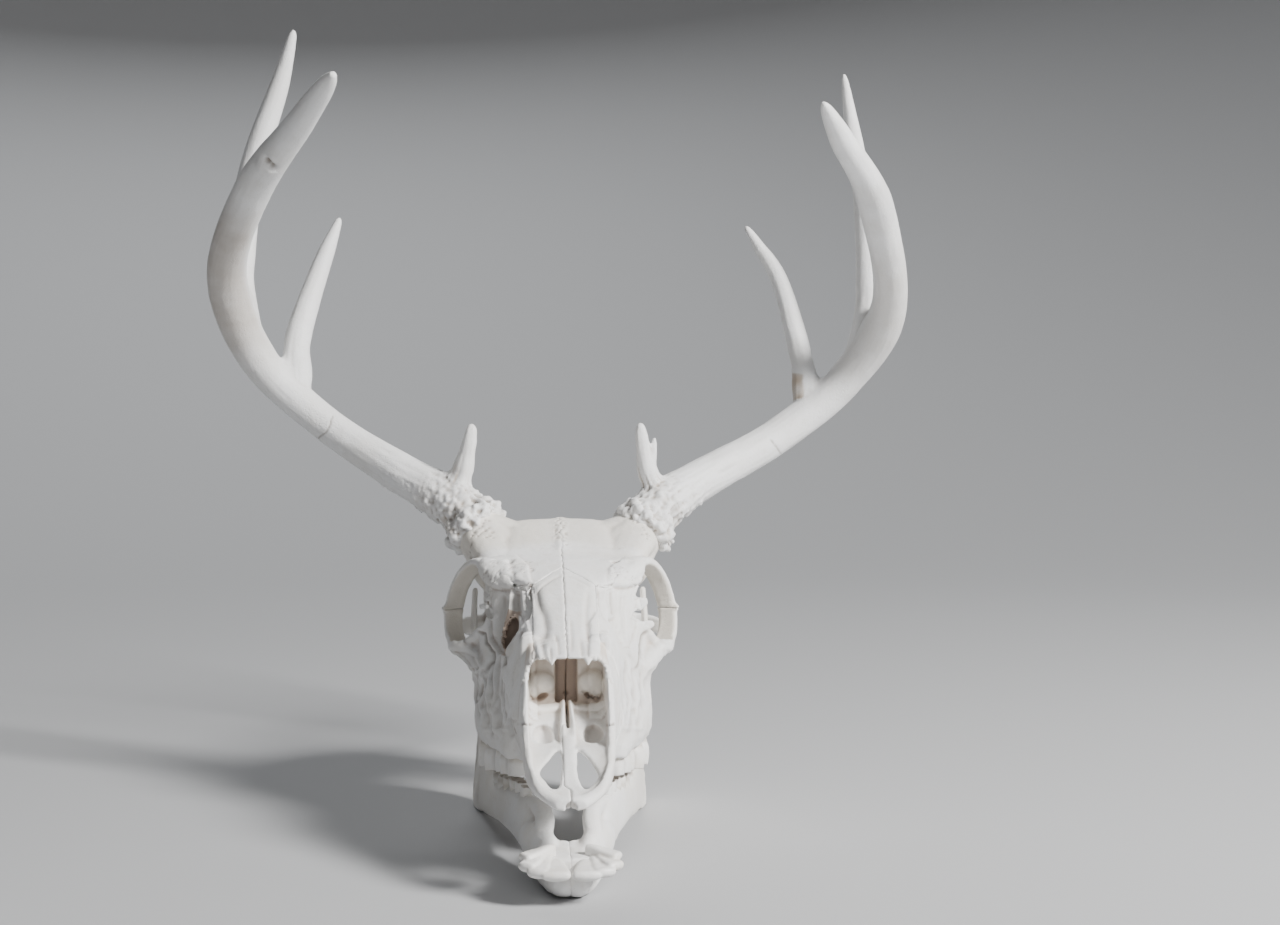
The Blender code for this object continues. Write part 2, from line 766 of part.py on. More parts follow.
def bones(whole):
    """The cranium parted along its sutures."""
    made = parted(
        whole, cross_blade("coronal", CORONAL_CUT, -80, 80),
        {"rear": lambda m: m.y > 190, "front": lambda m: m.y <= 190},
    )
    rear = made.pop("rear")
    for side, word in ((1, "left"), (-1, "right")):
        cut = parted(
            rear, cross_blade("arch", ARCH_CUT, *sorted((44 * side, 70 * side))),
            {"braincase": lambda m: abs(m.x) < 20,
             f"zygomatic_{word}": lambda m, s=side: m.x * s > 20 and m.y < 214},
        )
        rear = cut.pop("braincase")
        made.update(cut)
    rear.name = "braincase"
    made["braincase"] = rear
    upper = parted(
        made.pop("front"), frontal_blade(),
        {"frontal": lambda m: m.y > 155, "face": lambda m: m.y <= 155},
    )
    made.update(parted(
        upper["frontal"], blade("middle", [[(0, y, -60), (0, y, 160)] for y in (60, 300)]),
        {"frontal_left": lambda m: m.x > 0, "frontal_right": lambda m: m.x < 0},
    ))
    sides = parted(
        upper["face"], blade("middle", [[(0, y, -60), (0, y, 160)] for y in (-60, 300)]),
        {"left": lambda m: m.x > 0, "right": lambda m: m.x < 0},
    )
    for side, word in ((1, "left"), (-1, "right")):
        cut = parted(
            sides[word], nasal_blade(side),
            {f"nasal_{word}": lambda m: m.z > ROOF_Z(m.y) - 8 and abs(m.x) < 15 and m.y > 75,
             "rest": lambda m: m.z <= ROOF_Z(m.y) - 8 or m.y < 75},
        )
        rest = cut.pop("rest")
        made.update(cut)
        made.update(parted(
            rest, cross_blade("premaxillary", PREMAXILLA_CUT, -80, 80),
            {f"premaxilla_{word}": lambda m: m.y < 66,
             f"maxilla_{word}": lambda m: m.y >= 66},
        ))
    return made


# ---------------------------------------------------------------- lower jaw

JAW_X = line((14, 6), (30, 7.5), (45, 10.5), (60, 14), (80, 18.2), (100, 22), (120, 25.8),
             (140, 29.2), (160, 32.5), (180, 36), (200, 39.3), (215, 41.3))
JAW_TOP_Z = line((14, -27), (30, -26), (45, -25.5), (60, -20.5), (76, -14), (90, -14.5),
                 (110, -17), (133, -19.5), (156, -18.5), (172, -12), (190, -4), (215, 2))
JAW_LOW_Z = line((14, -38), (22, -44), (34, -43.5), (55, -40.5), (80, -38), (100, -37),
                 (120, -37.3), (140, -38.7), (160, -41), (180, -42.3), (200, -43.3), (215, -44))
JAW_HALF_THICK = line((14, 6), (30, 6.8), (45, 4.6), (60, 4.2), (80, 4.6), (110, 5.4),
                      (150, 5.4), (175, 3.8), (200, 2.4), (215, 2.2))


def jaw_body(side):
    """One half of the lower jaw from the chin to the angle."""
    rings = []
    for i in range(41):
        y = 14 + (215 - 14) * i / 40
        low = JAW_LOW_Z(y)
        high = JAW_TOP_Z(y)
        centre = mirrored((JAW_X(y), y, (low + high) / 2), side)
        lean = 0.06 * (high - low) / 2
        rings.append(oval_ring(centre, Vector((JAW_HALF_THICK(y), 0, 0)),
                               Vector((-lean * side, 0, (high - low) / 2)), 14, 2.8))
    return loft("jaw_body", rings)


def jaw_branch(side):
    """The upright branch with the angle, the hooked process and the hinge knob."""
    made = []
    sheet = ((212, -41.5, 13, 2.4, 41.4), (215, -36, 17, 2.6, 41.2), (213, -20, 22, 2.2, 39.8),
             (213, 0, 21, 2.0, 39.4), (218, 16, 17, 2.0, 41), (224, 28, 13, 2.2, 42.5))
    rings = []
    for y, z, half_long, half_thick, x in sheet:
        rings.append(oval_ring(mirrored((x, y, z), side), Vector((half_thick, 0, 0)),
                               Vector((0, half_long, 0)), 14, 2.6))
    made.append(loft("branch", rings))
    rim = smooth_path([mirrored(p, side) for p in ((39.5, 196, -41.5), (42, 213, -42.9),
                                                   (42.5, 227, -38), (41.2, 234, -24),
                                                   (40, 234, -4), (41, 235, 18), (42, 238, 30)
                                                   )], 26)
    made.append(band("branch_rim", rim, (1, 0, 0), line((0, 2.4), (0.35, 2.8), (1, 3)),
                     line((0, 2.4), (0.35, 2.4), (1, 3.4)), 10))
    hook = smooth_path([mirrored(p, side) for p in ((43, 216, 20), (43.8, 216, 38),
                                                    (44, 221, 54), (43.5, 229, 66))], 14)
    made.append(band("hook", hook, (0, 1, 0.2), line((0, 9), (0.5, 5.5), (1, 2.6)),
                     line((0, 1.9), (1, 1.5)), 10))
    made.append(ball("knob", mirrored((42, 238, 33.5), side), (11, 5.5, 5)))
    return made


def lower_teeth(side):
    made = []
    for y, long, wide, tall in LOWER_TEETH:
        lobes = 1 if y < 100 else 3 if y > 145 else 2
        for k in range(lobes):
            along = y + (k - (lobes - 1) / 2) * long / lobes
            centre = mirrored((JAW_X(along) - 0.6, along, 0), side)
            made.append(tooth_lobe("lower_tooth", centre, wide / 2, long / lobes / 2 + 0.1,
                                   JAW_TOP_Z(along) - 6, JAW_TOP_Z(along) + tall))
    return made


# Front teeth of one half: place of the biting edge, width there, and turn from straight ahead.
FRONT_TEETH = (((6.6, -3.4, -30.4), 12.4, 3), ((14.6, -1.2, -29.6), 9.5, 20),
               ((19.4, 3.2, -27.8), 8.5, 36), ((20.4, 9.0, -25.2), 7.5, 58))


def front_teeth(side):
    made = []
    for edge, wide, turn in FRONT_TEETH:
        tip = mirrored(edge, side)
        angle = math.radians(turn) * side
        ahead = Vector((math.sin(angle), -math.cos(angle), -0.06)).normalized()
        across = Vector((math.cos(angle), math.sin(angle), 0))
        over = across.cross(ahead)
        rings = []
        for back, half_wide, half_thick in ((0, 0.4, 1.6), (1.2, 0.47, 2.7), (3.5, 0.5, 3.5),
                                            (8, 0.43, 3.6), (16, 0.26, 3.4)):
            rings.append(oval_ring(tip - ahead * back, across * (wide * half_wide),
                                   over * half_thick, 12, 2.4))
        made.append(loft("front_tooth", rings))
    return made


def mandible(side, name):
    """One half of the lower jaw, flat where it rests and where it meets the other half."""
    solids = [jaw_body(side)] + jaw_branch(side) + lower_teeth(side) + front_teeth(side)
    solids.append(ball("chin", mirrored((6.5, 23, -37.4), side), (9.5, 14, 7.8)))
    half = joined(name, solids)
    fuse(half, 2)
    thin_out(half, JAW_TRIANGLES)
    keep = bmesh.new()
    bmesh.ops.create_cube(keep, size=1.0)
    box = Matrix.Translation((side * (GAP / 2 + 50), 130, FLOOR_Z + 100))
    bmesh.ops.transform(keep, matrix=box @ Matrix.Diagonal((100, 400, 200, 1)), verts=keep.verts)
    boolean(half, mesh_object("keep", keep), "INTERSECT")
    keep_largest(half)
    return half


# ---------------------------------------------------------------- antlers

# Paths of the animal's right antler (-X) and left antler (+X), and thickness along them.
BEAMS = {
    "right": ((-42, 214, 98), (-54, 221, 111), (-79, 236, 124), (-122, 259, 150.6),
              (-157.5, 260, 185.4), (-169.8, 231, 228), (-151, 181, 267), (-122.2, 133, 296.2),
              (-104.3, 98.5, 313.2)),
    "left": ((42, 214, 97), (52.6, 220, 109.8), (74.8, 238, 122), (118, 259, 144.5),
             (154.6, 260, 174.8), (172.8, 230, 213.3), (156, 176, 262.3), (132.6, 134, 289.2),
             (120, 108.5, 303)),
}
BEAM_RADIUS = {
    "right": line((0, 12.8), (0.05, 12.4), (0.12, 10.9), (0.2, 9.6), (0.28, 9.1), (0.41, 10.4),
                  (0.5, 11.2), (0.58, 10.2), (0.66, 9.4), (0.74, 9.2), (0.83, 7.7),
                  (0.91, 6.2), (0.96, 5.0), (0.985, 3.6), (1, 1.6)),
    "left": line((0, 12.8), (0.05, 12.2), (0.12, 10.7), (0.2, 9.8), (0.28, 9.5), (0.41, 9.7),
                 (0.5, 10.4), (0.58, 9.0), (0.66, 8.6), (0.75, 8.8), (0.83, 7.2),
                 (0.91, 5.9), (0.96, 4.2), (0.985, 2.9), (1, 1.2)),
}
# Each tine: its path from inside the beam to its tip, and its radius at the base and middle.
TINES = {
    "right": {
        "brow_tine": (((-56, 221, 112), (-50.3, 219.5, 126), (-46.5, 217, 141),
                       (-44.7, 216, 152)), 7.6, 4.3),
        "second_tine": (((-136.8, 262.5, 168), (-139, 275, 194), (-130, 288.5, 228.5),
                         (-117.6, 295, 262.4)), 8.4, 6.2),
        "third_tine": (((-163.2, 246, 203), (-164.5, 253, 237), (-158.6, 258, 287),
                        (-144.4, 255.5, 329.6), (-137.2, 250, 356.6)), 9.6, 8.2),
    },
    "left": {
        "brow_tine": (((55, 221, 110), (46.4, 220, 125), (42.8, 217, 141),
                       (41.4, 216, 152.4)), 7.2, 4.0),
        "second_tine": (((132.5, 263, 160), (133.3, 270, 180), (123.2, 287, 226.5),
                         (111, 292.5, 248.4), (104.2, 294, 258.9)), 7.8, 5.4),
        "third_tine": (((164.6, 246, 193), (165.6, 253.5, 224), (163.8, 259.5, 272),
                        (156.3, 257, 314), (152.1, 253, 336.7)), 8.6, 5.8),
    },
}
# Where each beam is parted, as shares of its length: past each of its three forks.
FORKS = {"right": (0.135, 0.41, 0.595), "left": (0.135, 0.40, 0.585)}
STICKER_ROOT = (47.0, 218.5, 131)  # the small extra point on the left brow tine
STICKER_TIP = (49.2, 218, 145)

BEAM_RINGS = 27
BEAM_SIDES = 9
TINE_SIDES = 8
BURR_RADIUS = 17.2
BURR_LENGTH = 8.5
BURR_SIDES = 18
FOOT_DEPTH = 1.2  # how far the burr's underside lies below the start of the beam


def beam_path(word):
    return smooth_path(BEAMS[word], BEAM_RINGS)


def inflated_beam(word):
    """The whole beam a gap wider, to seat tines on it."""
    radius = BEAM_RADIUS[word]
    return tube("seat", beam_path(word), lambda s: radius(s) + GAP, BEAM_SIDES)


def burr(name, word):
    """The rough crown at an antler's foot, standing out round the beam in knobs."""
    path = beam_path(word)
    start = path[0]
    heading = directions(path)[0]
    side = heading.orthogonal().normalized()
    over = heading.cross(side)
    rings = []
    for along, swell, rough in ((-FOOT_DEPTH, 0.72, 0.0), (0.2, 0.96, 0.05), (3.2, 1.0, 0.07),
                                (6.2, 0.93, 0.06), (BURR_LENGTH, 0.7, 0.0)):
        ring = []
        for k in range(BURR_SIDES):
            turn = 2 * math.pi * k / BURR_SIDES
            knob = 1 + rough * math.sin(5 * turn + along) + rough * 0.7 * math.cos(9 * turn)
            r = BURR_RADIUS * swell * knob
            ring.append(start + heading * along + side * (r * math.cos(turn))
                        + over * (r * math.sin(turn)))
        rings.append(ring)
    return loft(name, rings)


def antler_cutter(side):
    """Clears the pedicle's top so that the antler's foot stands on it with a gap."""
    word = "left" if side > 0 else "right"
    path = beam_path(word)
    heading = directions(path)[0]
    start = path[0] - heading * (FOOT_DEPTH + GAP)
    steps = [start + heading * (30 * k / 4) for k in range(5)]
    return tube("antler_cutter", steps, lambda s: 24.0, 16)


def antler(word):
    """One antler: its foot, three lengths of beam and three tines, each its own solid."""
    made = {}
    path = beam_path(word)
    radius = BEAM_RADIUS[word]
    whole_steps = BEAM_RINGS - 1
    marks = [0.0] + [round(f * whole_steps) / whole_steps for f in FORKS[word]] + [1.0]
    names = ("base", "lower_beam", "middle_beam", "upper_beam")
    for name, first, last in zip(names, marks, marks[1:]):
        piece = tube(f"antler_{word}_{name}", path, radius, BEAM_SIDES, first, last)
        if first > 0:
            push_end(piece, path, first, GAP / 2)
        if last < 1:
            push_end(piece, path, last, -GAP / 2)
        made[piece.name] = piece
    base = made[f"antler_{word}_base"]
    boolean(base, burr("burr", word), "UNION")
    for name, (points, root, middle) in TINES[word].items():
        tine_path = smooth_path(points, 12 if name == "third_tine" else 9)
        girth = line((0, root), (0.22, middle * 1.22), (0.5, middle), (0.78, middle * 0.7),
                     (0.95, middle * 0.34), (1, 0.7))
        piece = tube(f"antler_{word}_{name}", tine_path, girth, TINE_SIDES)
        if word == "left" and name == "brow_tine":
            sticker = smooth_path([STICKER_ROOT, (48.2, 218.2, 138), STICKER_TIP], 5)
            boolean(piece, tube("sticker", sticker, line((0, 2.8), (0.6, 1.8), (1, 0.7)), 7),
                    "UNION")
        boolean(piece, inflated_beam(word))
        if name == "brow_tine":
            boolean(piece, swollen_burr(word))
        keep_largest(piece)
        made[piece.name] = piece
    return made


def swollen_burr(word):
    """The burr a gap wider, to keep the brow tine clear of it."""
    shape = burr("swollen_burr", word)
    centre = sum((v.co for v in shape.data.vertices), Vector()) / len(shape.data.vertices)
    for vert in shape.data.vertices:
        vert.co += (vert.co - centre).normalized() * (GAP * 1.2)
    return shape


def push_end(piece, path, place, distance):
    """Moves the end ring at one place on the path along it, to leave a gap there."""
    index = round(place * (len(path) - 1))
    heading = directions(path)[index]
    centre = path[index]
    for vert in piece.data.vertices:
        off = vert.co - centre
        if abs(off.dot(heading)) < 0.01 and off.length < 15:
            vert.co += heading * distance


# ---------------------------------------------------------------- finish and placing

BONE_COLOUR = (0.86, 0.84, 0.79, 1)
ANTLER_COLOUR = (0.84, 0.83, 0.80, 1)


def finish(obj):
    """Gives a piece its own matt bone material, smooth shading and its place in metres."""
    is_antler = obj.name.startswith("antler")
    material = bpy.data.materials.new(obj.name)
    material.use_nodes = True
    shader = material.node_tree.nodes["Principled BSDF"]
    shader.inputs["Base Color"].default_value = ANTLER_COLOUR if is_antler else BONE_COLOUR
    shader.inputs["Roughness"].default_value = 0.62 if is_antler else 0.7
    shader.inputs["Metallic"].default_value = 0.0
    obj.data.materials.clear()
    obj.data.materials.append(material)
    place = Matrix.Scale(MM, 4) @ Matrix.Translation((-MIDDLE_X, -MIDDLE_Y, -FLOOR_Z))
    obj.data.transform(place)
    bm = bmesh.new()
    bm.from_mesh(obj.data)
    bmesh.ops.triangulate(bm, faces=bm.faces)
    bm.to_mesh(obj.data)
    bm.free()
    obj.data.shade_smooth()
    obj.data.set_sharp_from_angle(angle=math.radians(50))


def main():
    for obj in list(bpy.data.objects):
        bpy.data.objects.remove(obj)
    pieces = bones(cranium())
    for side, word in ((1, "left"), (-1, "right")):
        pieces[f"mandible_{word}"] = mandible(side, f"mandible_{word}")
        pieces.update(antler(word))
    for piece in pieces.values():
        finish(piece)


main()
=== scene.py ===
import math
from itertools import product

import bmesh
import bpy
import numpy as np
from mathutils import Matrix, Vector


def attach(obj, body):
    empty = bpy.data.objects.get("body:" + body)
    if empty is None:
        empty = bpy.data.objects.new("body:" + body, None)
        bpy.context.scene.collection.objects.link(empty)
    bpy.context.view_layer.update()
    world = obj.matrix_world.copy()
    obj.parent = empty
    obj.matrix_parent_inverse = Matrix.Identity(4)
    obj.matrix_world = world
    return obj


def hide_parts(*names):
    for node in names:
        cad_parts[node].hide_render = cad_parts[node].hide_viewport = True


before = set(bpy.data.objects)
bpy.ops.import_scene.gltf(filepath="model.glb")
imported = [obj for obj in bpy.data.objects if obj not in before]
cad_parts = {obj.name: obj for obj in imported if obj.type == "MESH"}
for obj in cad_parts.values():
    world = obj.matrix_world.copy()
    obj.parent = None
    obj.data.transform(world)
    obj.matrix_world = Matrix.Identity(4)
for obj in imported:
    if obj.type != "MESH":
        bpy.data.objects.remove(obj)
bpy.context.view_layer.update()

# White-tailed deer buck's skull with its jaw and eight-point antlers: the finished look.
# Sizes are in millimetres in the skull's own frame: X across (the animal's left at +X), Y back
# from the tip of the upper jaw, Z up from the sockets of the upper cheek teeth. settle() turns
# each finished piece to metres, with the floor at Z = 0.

MM = 0.001
MIDDLE = np.array((0.7, 146.4, -44.6))  # the skull's point that comes to the origin
EYE = np.array((-24.0, -879.0, 178.0))  # where the skull is looked at from
SHEET = 140.0  # an upright sheet at this Y, on which marks on the face are placed

WHOLE_GRID = 0.8  # fineness of the fused cranium and of its hollows
BONE_GRID = 0.7
CASE_GRID = 0.85
ANTLER_GRID = 0.82
TOOTH_GRID = 0.42
SEAM = 0.08  # width of the seams between bones
MOST_BODIES = 12  # crumbs beyond these are left out when a cut parts the bones
SIDES = (1, "left"), (-1, "right")
OUTWARD = {word: side for side, word in SIDES}
FAR = 1e9
AT_ONCE = 20000  # points measured at a time, which keeps the tables of distances small


# ---------------- smooth lines and paths

def line(*knots):
    """A smooth curve through (place, value) knots that never swings past them."""
    places, values = np.array(knots, float).T
    slopes = np.diff(values) / np.diff(places)
    both = slopes[:-1] * slopes[1:]
    total = slopes[:-1] + slopes[1:]
    tangents = np.empty(len(places))
    tangents[0], tangents[-1] = slopes[0], slopes[-1]
    tangents[1:-1] = np.where(both > 0, 2 * both / np.where(total == 0, 1, total), 0)

    def value(place):
        place = np.clip(place, places[0], places[-1])
        i = np.clip(np.searchsorted(places, place, side="right") - 1, 0, len(places) - 2)
        step = places[i + 1] - places[i]
        t = (place - places[i]) / step
        return ((1 + 2 * t) * (1 - t) ** 2 * values[i] + t * (1 - t) ** 2 * step * tangents[i]
                + t * t * (3 - 2 * t) * values[i + 1] - t * t * (1 - t) * step * tangents[i + 1])

    return value


FINE = 32  # points between two given ones, from which the even ones are read


def smooth_path(points, count, closed=False):
    """count points, evenly spaced along a smooth curve through the given points."""
    points = np.array(points, float)
    if closed:
        controls = np.concatenate([points[-1:], points, points[:2]])
    else:
        controls = np.concatenate([2 * points[:1] - points[1:2], points,
                                   2 * points[-1:] - points[-2:-1]])
    t = (np.arange(FINE) / FINE)[:, None]
    fine = []
    for p0, p1, p2, p3 in zip(controls, controls[1:], controls[2:], controls[3:]):
        fine.append(0.5 * (2 * p1 + (p2 - p0) * t + (2 * p0 - 5 * p1 + 4 * p2 - p3) * t ** 2
                           + (3 * p1 - p0 - 3 * p2 + p3) * t ** 3))
    fine = np.concatenate(fine + [points[:1] if closed else points[-1:]])
    reach = np.concatenate([[0], np.cumsum(np.linalg.norm(np.diff(fine, axis=0), axis=1))])
    want = reach[-1] * np.arange(count) / (count if closed else count - 1)
    return np.stack([np.interp(want, reach, fine[:, k]) for k in range(3)], axis=1)


def mirrored(points, side):
    """The points on the animal's left (side 1) or on its right (side -1)."""
    return np.array(points, float) * (side, 1, 1)


def unit(vectors):
    return vectors / np.linalg.norm(vectors, axis=-1, keepdims=True)


def headings(path, closed=False):
    """The unit direction of travel at each point of a path."""
    if closed:
        return unit(np.roll(path, -1, axis=0) - np.roll(path, 1, axis=0))
    return unit(np.gradient(path, axis=0))


def carried_frames(path):
    """Two unit directions across a path at each of its points, carried along without twist."""
    ahead = headings(path)
    side = np.array((0.31, 0.24, 0.92))
    sides = []
    for way in ahead:
        side = unit(side - way * side.dot(way))
        sides.append(side)
    sides = np.array(sides)
    return sides, np.cross(ahead, sides)


# ---------------- grain and distances

SCATTER = (73856093, 19349663, 83492791)  # large primes, one for each direction


def grain(points, size, seed):
    """Smooth random numbers from -1 to 1 through space, in lumps about size across."""
    place = points / size + seed * 17.31
    cell = np.floor(place).astype(np.int64)
    part = place - cell
    part = part * part * (3 - 2 * part)
    total = np.zeros(len(points))
    for corner in product((0, 1), repeat=3):
        a, b, c = ((cell + corner) * SCATTER).T
        mix = a ^ b ^ c ^ (seed * 7919)
        mix = (mix ^ (mix >> 13)) * 1274126177 & 0x7fffffff
        weight = np.prod(np.where(corner, part, 1 - part), axis=1)
        total += weight * (mix / 0x3fffffff - 1)
    return total


def layered_grain(points, size, seed):
    return (grain(points, size, seed) + 0.5 * grain(points, size / 2.1, seed + 1)
            + 0.25 * grain(points, size / 4.3, seed + 2)) / 1.4


def soft_step(value, low, high):
    t = np.clip((value - low) / (high - low), 0, 1)
    return t * t * (3 - 2 * t)


def distance_to_path(points, path):
    """Distance of each point from a line of straight pieces, and how far along it lies, 0 to 1."""
    path = np.array(path, float)
    lengths = np.linalg.norm(np.diff(path, axis=0), axis=1)
    reach = np.concatenate([[0], np.cumsum(lengths)])
    best = np.full(len(points), FAR)
    along = np.zeros(len(points))
    for i, (a, b) in enumerate(zip(path, path[1:])):
        step = b - a
        t = np.clip((points - a) @ step / max(step @ step, 1e-9), 0, 1)
        off = np.linalg.norm(points - (a + t[:, None] * step), axis=1)
        nearer = off < best
        best[nearer] = off[nearer]
        along[nearer] = (reach[i] + t[nearer] * lengths[i]) / max(reach[-1], 1e-9)
    return best, along


def inside_outline(points, outline):
    """Signed distance from a closed outline on the sheet: above zero inside it."""
    outline = np.array(outline, float)
    ring = np.concatenate([outline, outline[:1]])
    off, _ = distance_to_path(points, ring)
    inside = np.zeros(len(points), bool)
    for (x1, z1), (x2, z2) in zip(ring, ring[1:]):
        if z1 == z2:
            continue
        crosses = (z1 > points[:, 1]) != (z2 > points[:, 1])
        at = x1 + (points[:, 1] - z1) * (x2 - x1) / (z2 - z1)
        inside ^= crosses & (points[:, 0] < at)
    return np.where(inside, off, -off)


def on_sheet(points):
    """(x, z) where each point is seen on the upright sheet, from ahead of the nose."""
    spread = (SHEET - EYE[1]) / (points[:, 1] - EYE[1])
    return EYE[[0, 2]] + (points[:, [0, 2]] - EYE[[0, 2]]) * spread[:, None]


# ---------------- solids

def bmesh_object(name, bm):
    mesh = bpy.data.meshes.new(name)
    bm.to_mesh(mesh)
    bm.free()
    obj = bpy.data.objects.new(name, mesh)
    bpy.context.scene.collection.objects.link(obj)
    return obj


def draped_grid(name, rows, capped=False):
    """A grid drawn over rows of points; points that meet are merged, and open ends closed."""
    rows = np.asarray(rows, float)
    bm = bmesh.new()
    bmesh.ops.create_grid(bm, x_segments=rows.shape[1] - 1, y_segments=rows.shape[0] - 1,
                          size=1.0)
    for vert, place in zip(bm.verts, rows.reshape(-1, 3)):
        vert.co = place
    bmesh.ops.remove_doubles(bm, verts=bm.verts, dist=1e-4)
    if capped:
        rims = [e for e in bm.edges if e.is_boundary]
        bmesh.ops.holes_fill(bm, edges=rims, sides=0)
        bmesh.ops.triangulate(bm, faces=[f for f in bm.faces if len(f.verts) > 4])
    bmesh.ops.recalc_face_normals(bm, faces=bm.faces)
    if capped and bm.calc_volume(signed=True) < 0:
        bmesh.ops.reverse_faces(bm, faces=bm.faces)
    return bmesh_object(name, bm)


def sleeve(name, rings, closed=False):
    """A solid skinned over rings of equal count, with its ends closed."""
    rings = np.asarray(rings, float)
    if closed:
        rings = np.concatenate([rings, rings[:1]])
    rings = np.concatenate([rings, rings[:, :1]], axis=1)
    return draped_grid(name, rings, capped=True)


def halved_ring(y, half, per_half=22):
    """A ring across the skull at y, from its half outline of (x, z) from bottom to top."""
    edge = smooth_path([(x, y, z) for x, z in half], per_half)
    return np.concatenate([edge, mirrored(edge[1:-1][::-1], -1)])


def oval(centre, wide, tall, sides, power=2.0):
    """A ring round centre spanned by the vectors wide and tall; power 2 is an ellipse."""
    turn = 2 * np.pi * np.arange(sides) / sides
    c, s = np.cos(turn), np.sin(turn)
    c = np.sign(c) * np.abs(c) ** (2 / power)
    s = np.sign(s) * np.abs(s) ** (2 / power)
    return np.array(centre) + c[:, None] * np.array(wide) + s[:, None] * np.array(tall)


def tube(name, path, radius, sides=20):
    """A round tube; radius is a number, or is read at 0 to 1 along the path."""
    side, over = carried_frames(path)
    place = np.linspace(0, 1, len(path))
    girth = radius(place) if callable(radius) else np.full(len(path), radius)
    return sleeve(name, [oval(c, a * r, b * r, sides)
                         for c, a, b, r in zip(path, side, over, girth)])


def bar(name, points, wide_way, half_wide, half_thick, count=24, sides=16, closed=False,
        power=2.4):
    """A flattened bar along a smooth path, widest toward wide_way."""
    path = smooth_path(points, count, closed)
    ahead = headings(path, closed)
    wide = unit(wide_way - ahead * (ahead @ np.array(wide_way, float))[:, None])
    thick = np.cross(ahead, wide)
    place = np.arange(count) / (count if closed else count - 1)
    sizes = [f(place) if callable(f) else np.full(count, f) for f in (half_wide, half_thick)]
    return sleeve(name, [oval(c, w * a, t * b, sides, power)
                         for c, w, t, a, b in zip(path, wide, thick, *sizes)], closed)


def ball(name, centre, radii, turn=None, rounds=3):
    """An ellipsoid, with an optional (angle in degrees, axis) turn about its centre."""
    bm = bmesh.new()
    bmesh.ops.create_icosphere(bm, subdivisions=rounds, radius=1.0)
    place = Matrix.Translation(Vector(centre))
    if turn:
        place = place @ Matrix.Rotation(math.radians(turn[0]), 4, turn[1])
    radii = (radii,) * 3 if isinstance(radii, (int, float)) else radii
    bmesh.ops.transform(bm, matrix=place @ Matrix.Diagonal((*radii, 1.0)), verts=bm.verts)
    return bmesh_object(name, bm)


def paired(rows, side):
    """Balls of one side, from rows of name, centre, radii, and a turn in degrees about an axis."""
    return [ball(name, mirrored(centre, side), radii,
                 (degrees if axis == "X" else degrees * side, axis))
            for name, centre, radii, degrees, axis in rows]


def apply_modifiers(obj):
    evaluated = obj.evaluated_get(bpy.context.evaluated_depsgraph_get())
    mesh = bpy.data.meshes.new_from_object(evaluated)
    old = obj.data
    obj.modifiers.clear()
    obj.data = mesh
    bpy.data.meshes.remove(old)


def drop(obj):
    mesh = obj.data
    bpy.data.objects.remove(obj)
    bpy.data.meshes.remove(mesh)


def joined(name, objects):
    bm = bmesh.new()
    for obj in objects:
        bm.from_mesh(obj.data)
        drop(obj)
    return bmesh_object(name, bm)


def fuse(obj, grid, smoothing):
    """Makes overlapping solids in one mesh into one solid on a fine grid, and smooths it."""
    remesh = obj.modifiers.new("fuse", "REMESH")
    remesh.mode = "VOXEL"
    remesh.voxel_size = grid
    smooth = obj.modifiers.new("smooth", "SMOOTH")
    smooth.factor = 0.5
    smooth.iterations = smoothing
    apply_modifiers(obj)


def boolean(obj, tool, operation="DIFFERENCE"):
    cut = obj.modifiers.new("cut", "BOOLEAN")
    cut.operation = operation
    cut.object = tool
    cut.solver = "MANIFOLD"
    apply_modifiers(obj)
    drop(tool)


def array_of(mesh, collection, field, width, kind=np.float32):
    flat = np.empty(len(getattr(mesh, collection)) * width, kind)
    getattr(mesh, collection).foreach_get(field, flat)
    return flat.reshape(-1, width) if width > 1 else flat


def neighbours_mean(points, a, b):
    """The mean of each point's neighbours, by edges from the points a to the points b."""
    total = len(points)
    count = np.maximum(np.bincount(a, minlength=total) + np.bincount(b, minlength=total), 1)
    return np.stack([np.bincount(a, points[b, k], total) + np.bincount(b, points[a, k], total)
                     for k in range(3)], axis=1) / count[:, None]


def body_labels(mesh):
    """A number for each vertex that is the same all over its own separate body."""
    a, b = array_of(mesh, "edges", "vertices", 2, np.int32).T
    label = np.arange(len(mesh.vertices))
    while True:
        low = np.minimum(label[a], label[b])
        new = label.copy()
        np.minimum.at(new, a, low)
        np.minimum.at(new, b, low)
        new = new[new]
        if (new == label).all():
            return label
        label = new


def bodies(mesh):
    """The separate bodies of a mesh, largest first, each as its vertices and mean point."""
    label = body_labels(mesh)
    places = array_of(mesh, "vertices", "co", 3)
    found = []
    numbers, counts = np.unique(label, return_counts=True)
    for number in numbers[np.argsort(-counts)][:MOST_BODIES]:
        members = label == number
        found.append((members, places[members].mean(axis=0)))
    return found


def keep_only(obj, members):
    bm = bmesh.new()
    bm.from_mesh(obj.data)
    bm.verts.ensure_lookup_table()
    extra = [bm.verts[i] for i in np.flatnonzero(~members)]
    if extra:
        bmesh.ops.delete(bm, geom=extra, context="VERTS")
        bm.to_mesh(obj.data)
    bm.free()


def parted(obj, blade, tests):
    """Cuts obj with a blade; each new name goes to the largest body that passes its test."""
    boolean(obj, blade)
    made = {}
    found = bodies(obj.data)
    for name, test in tests.items():
        for members, middle in found:
            if test(middle):
                piece = bpy.data.objects.new(name, obj.data.copy())
                bpy.context.scene.collection.objects.link(piece)
                keep_only(piece, members)
                made[name] = piece
                break
    drop(obj)
    return made


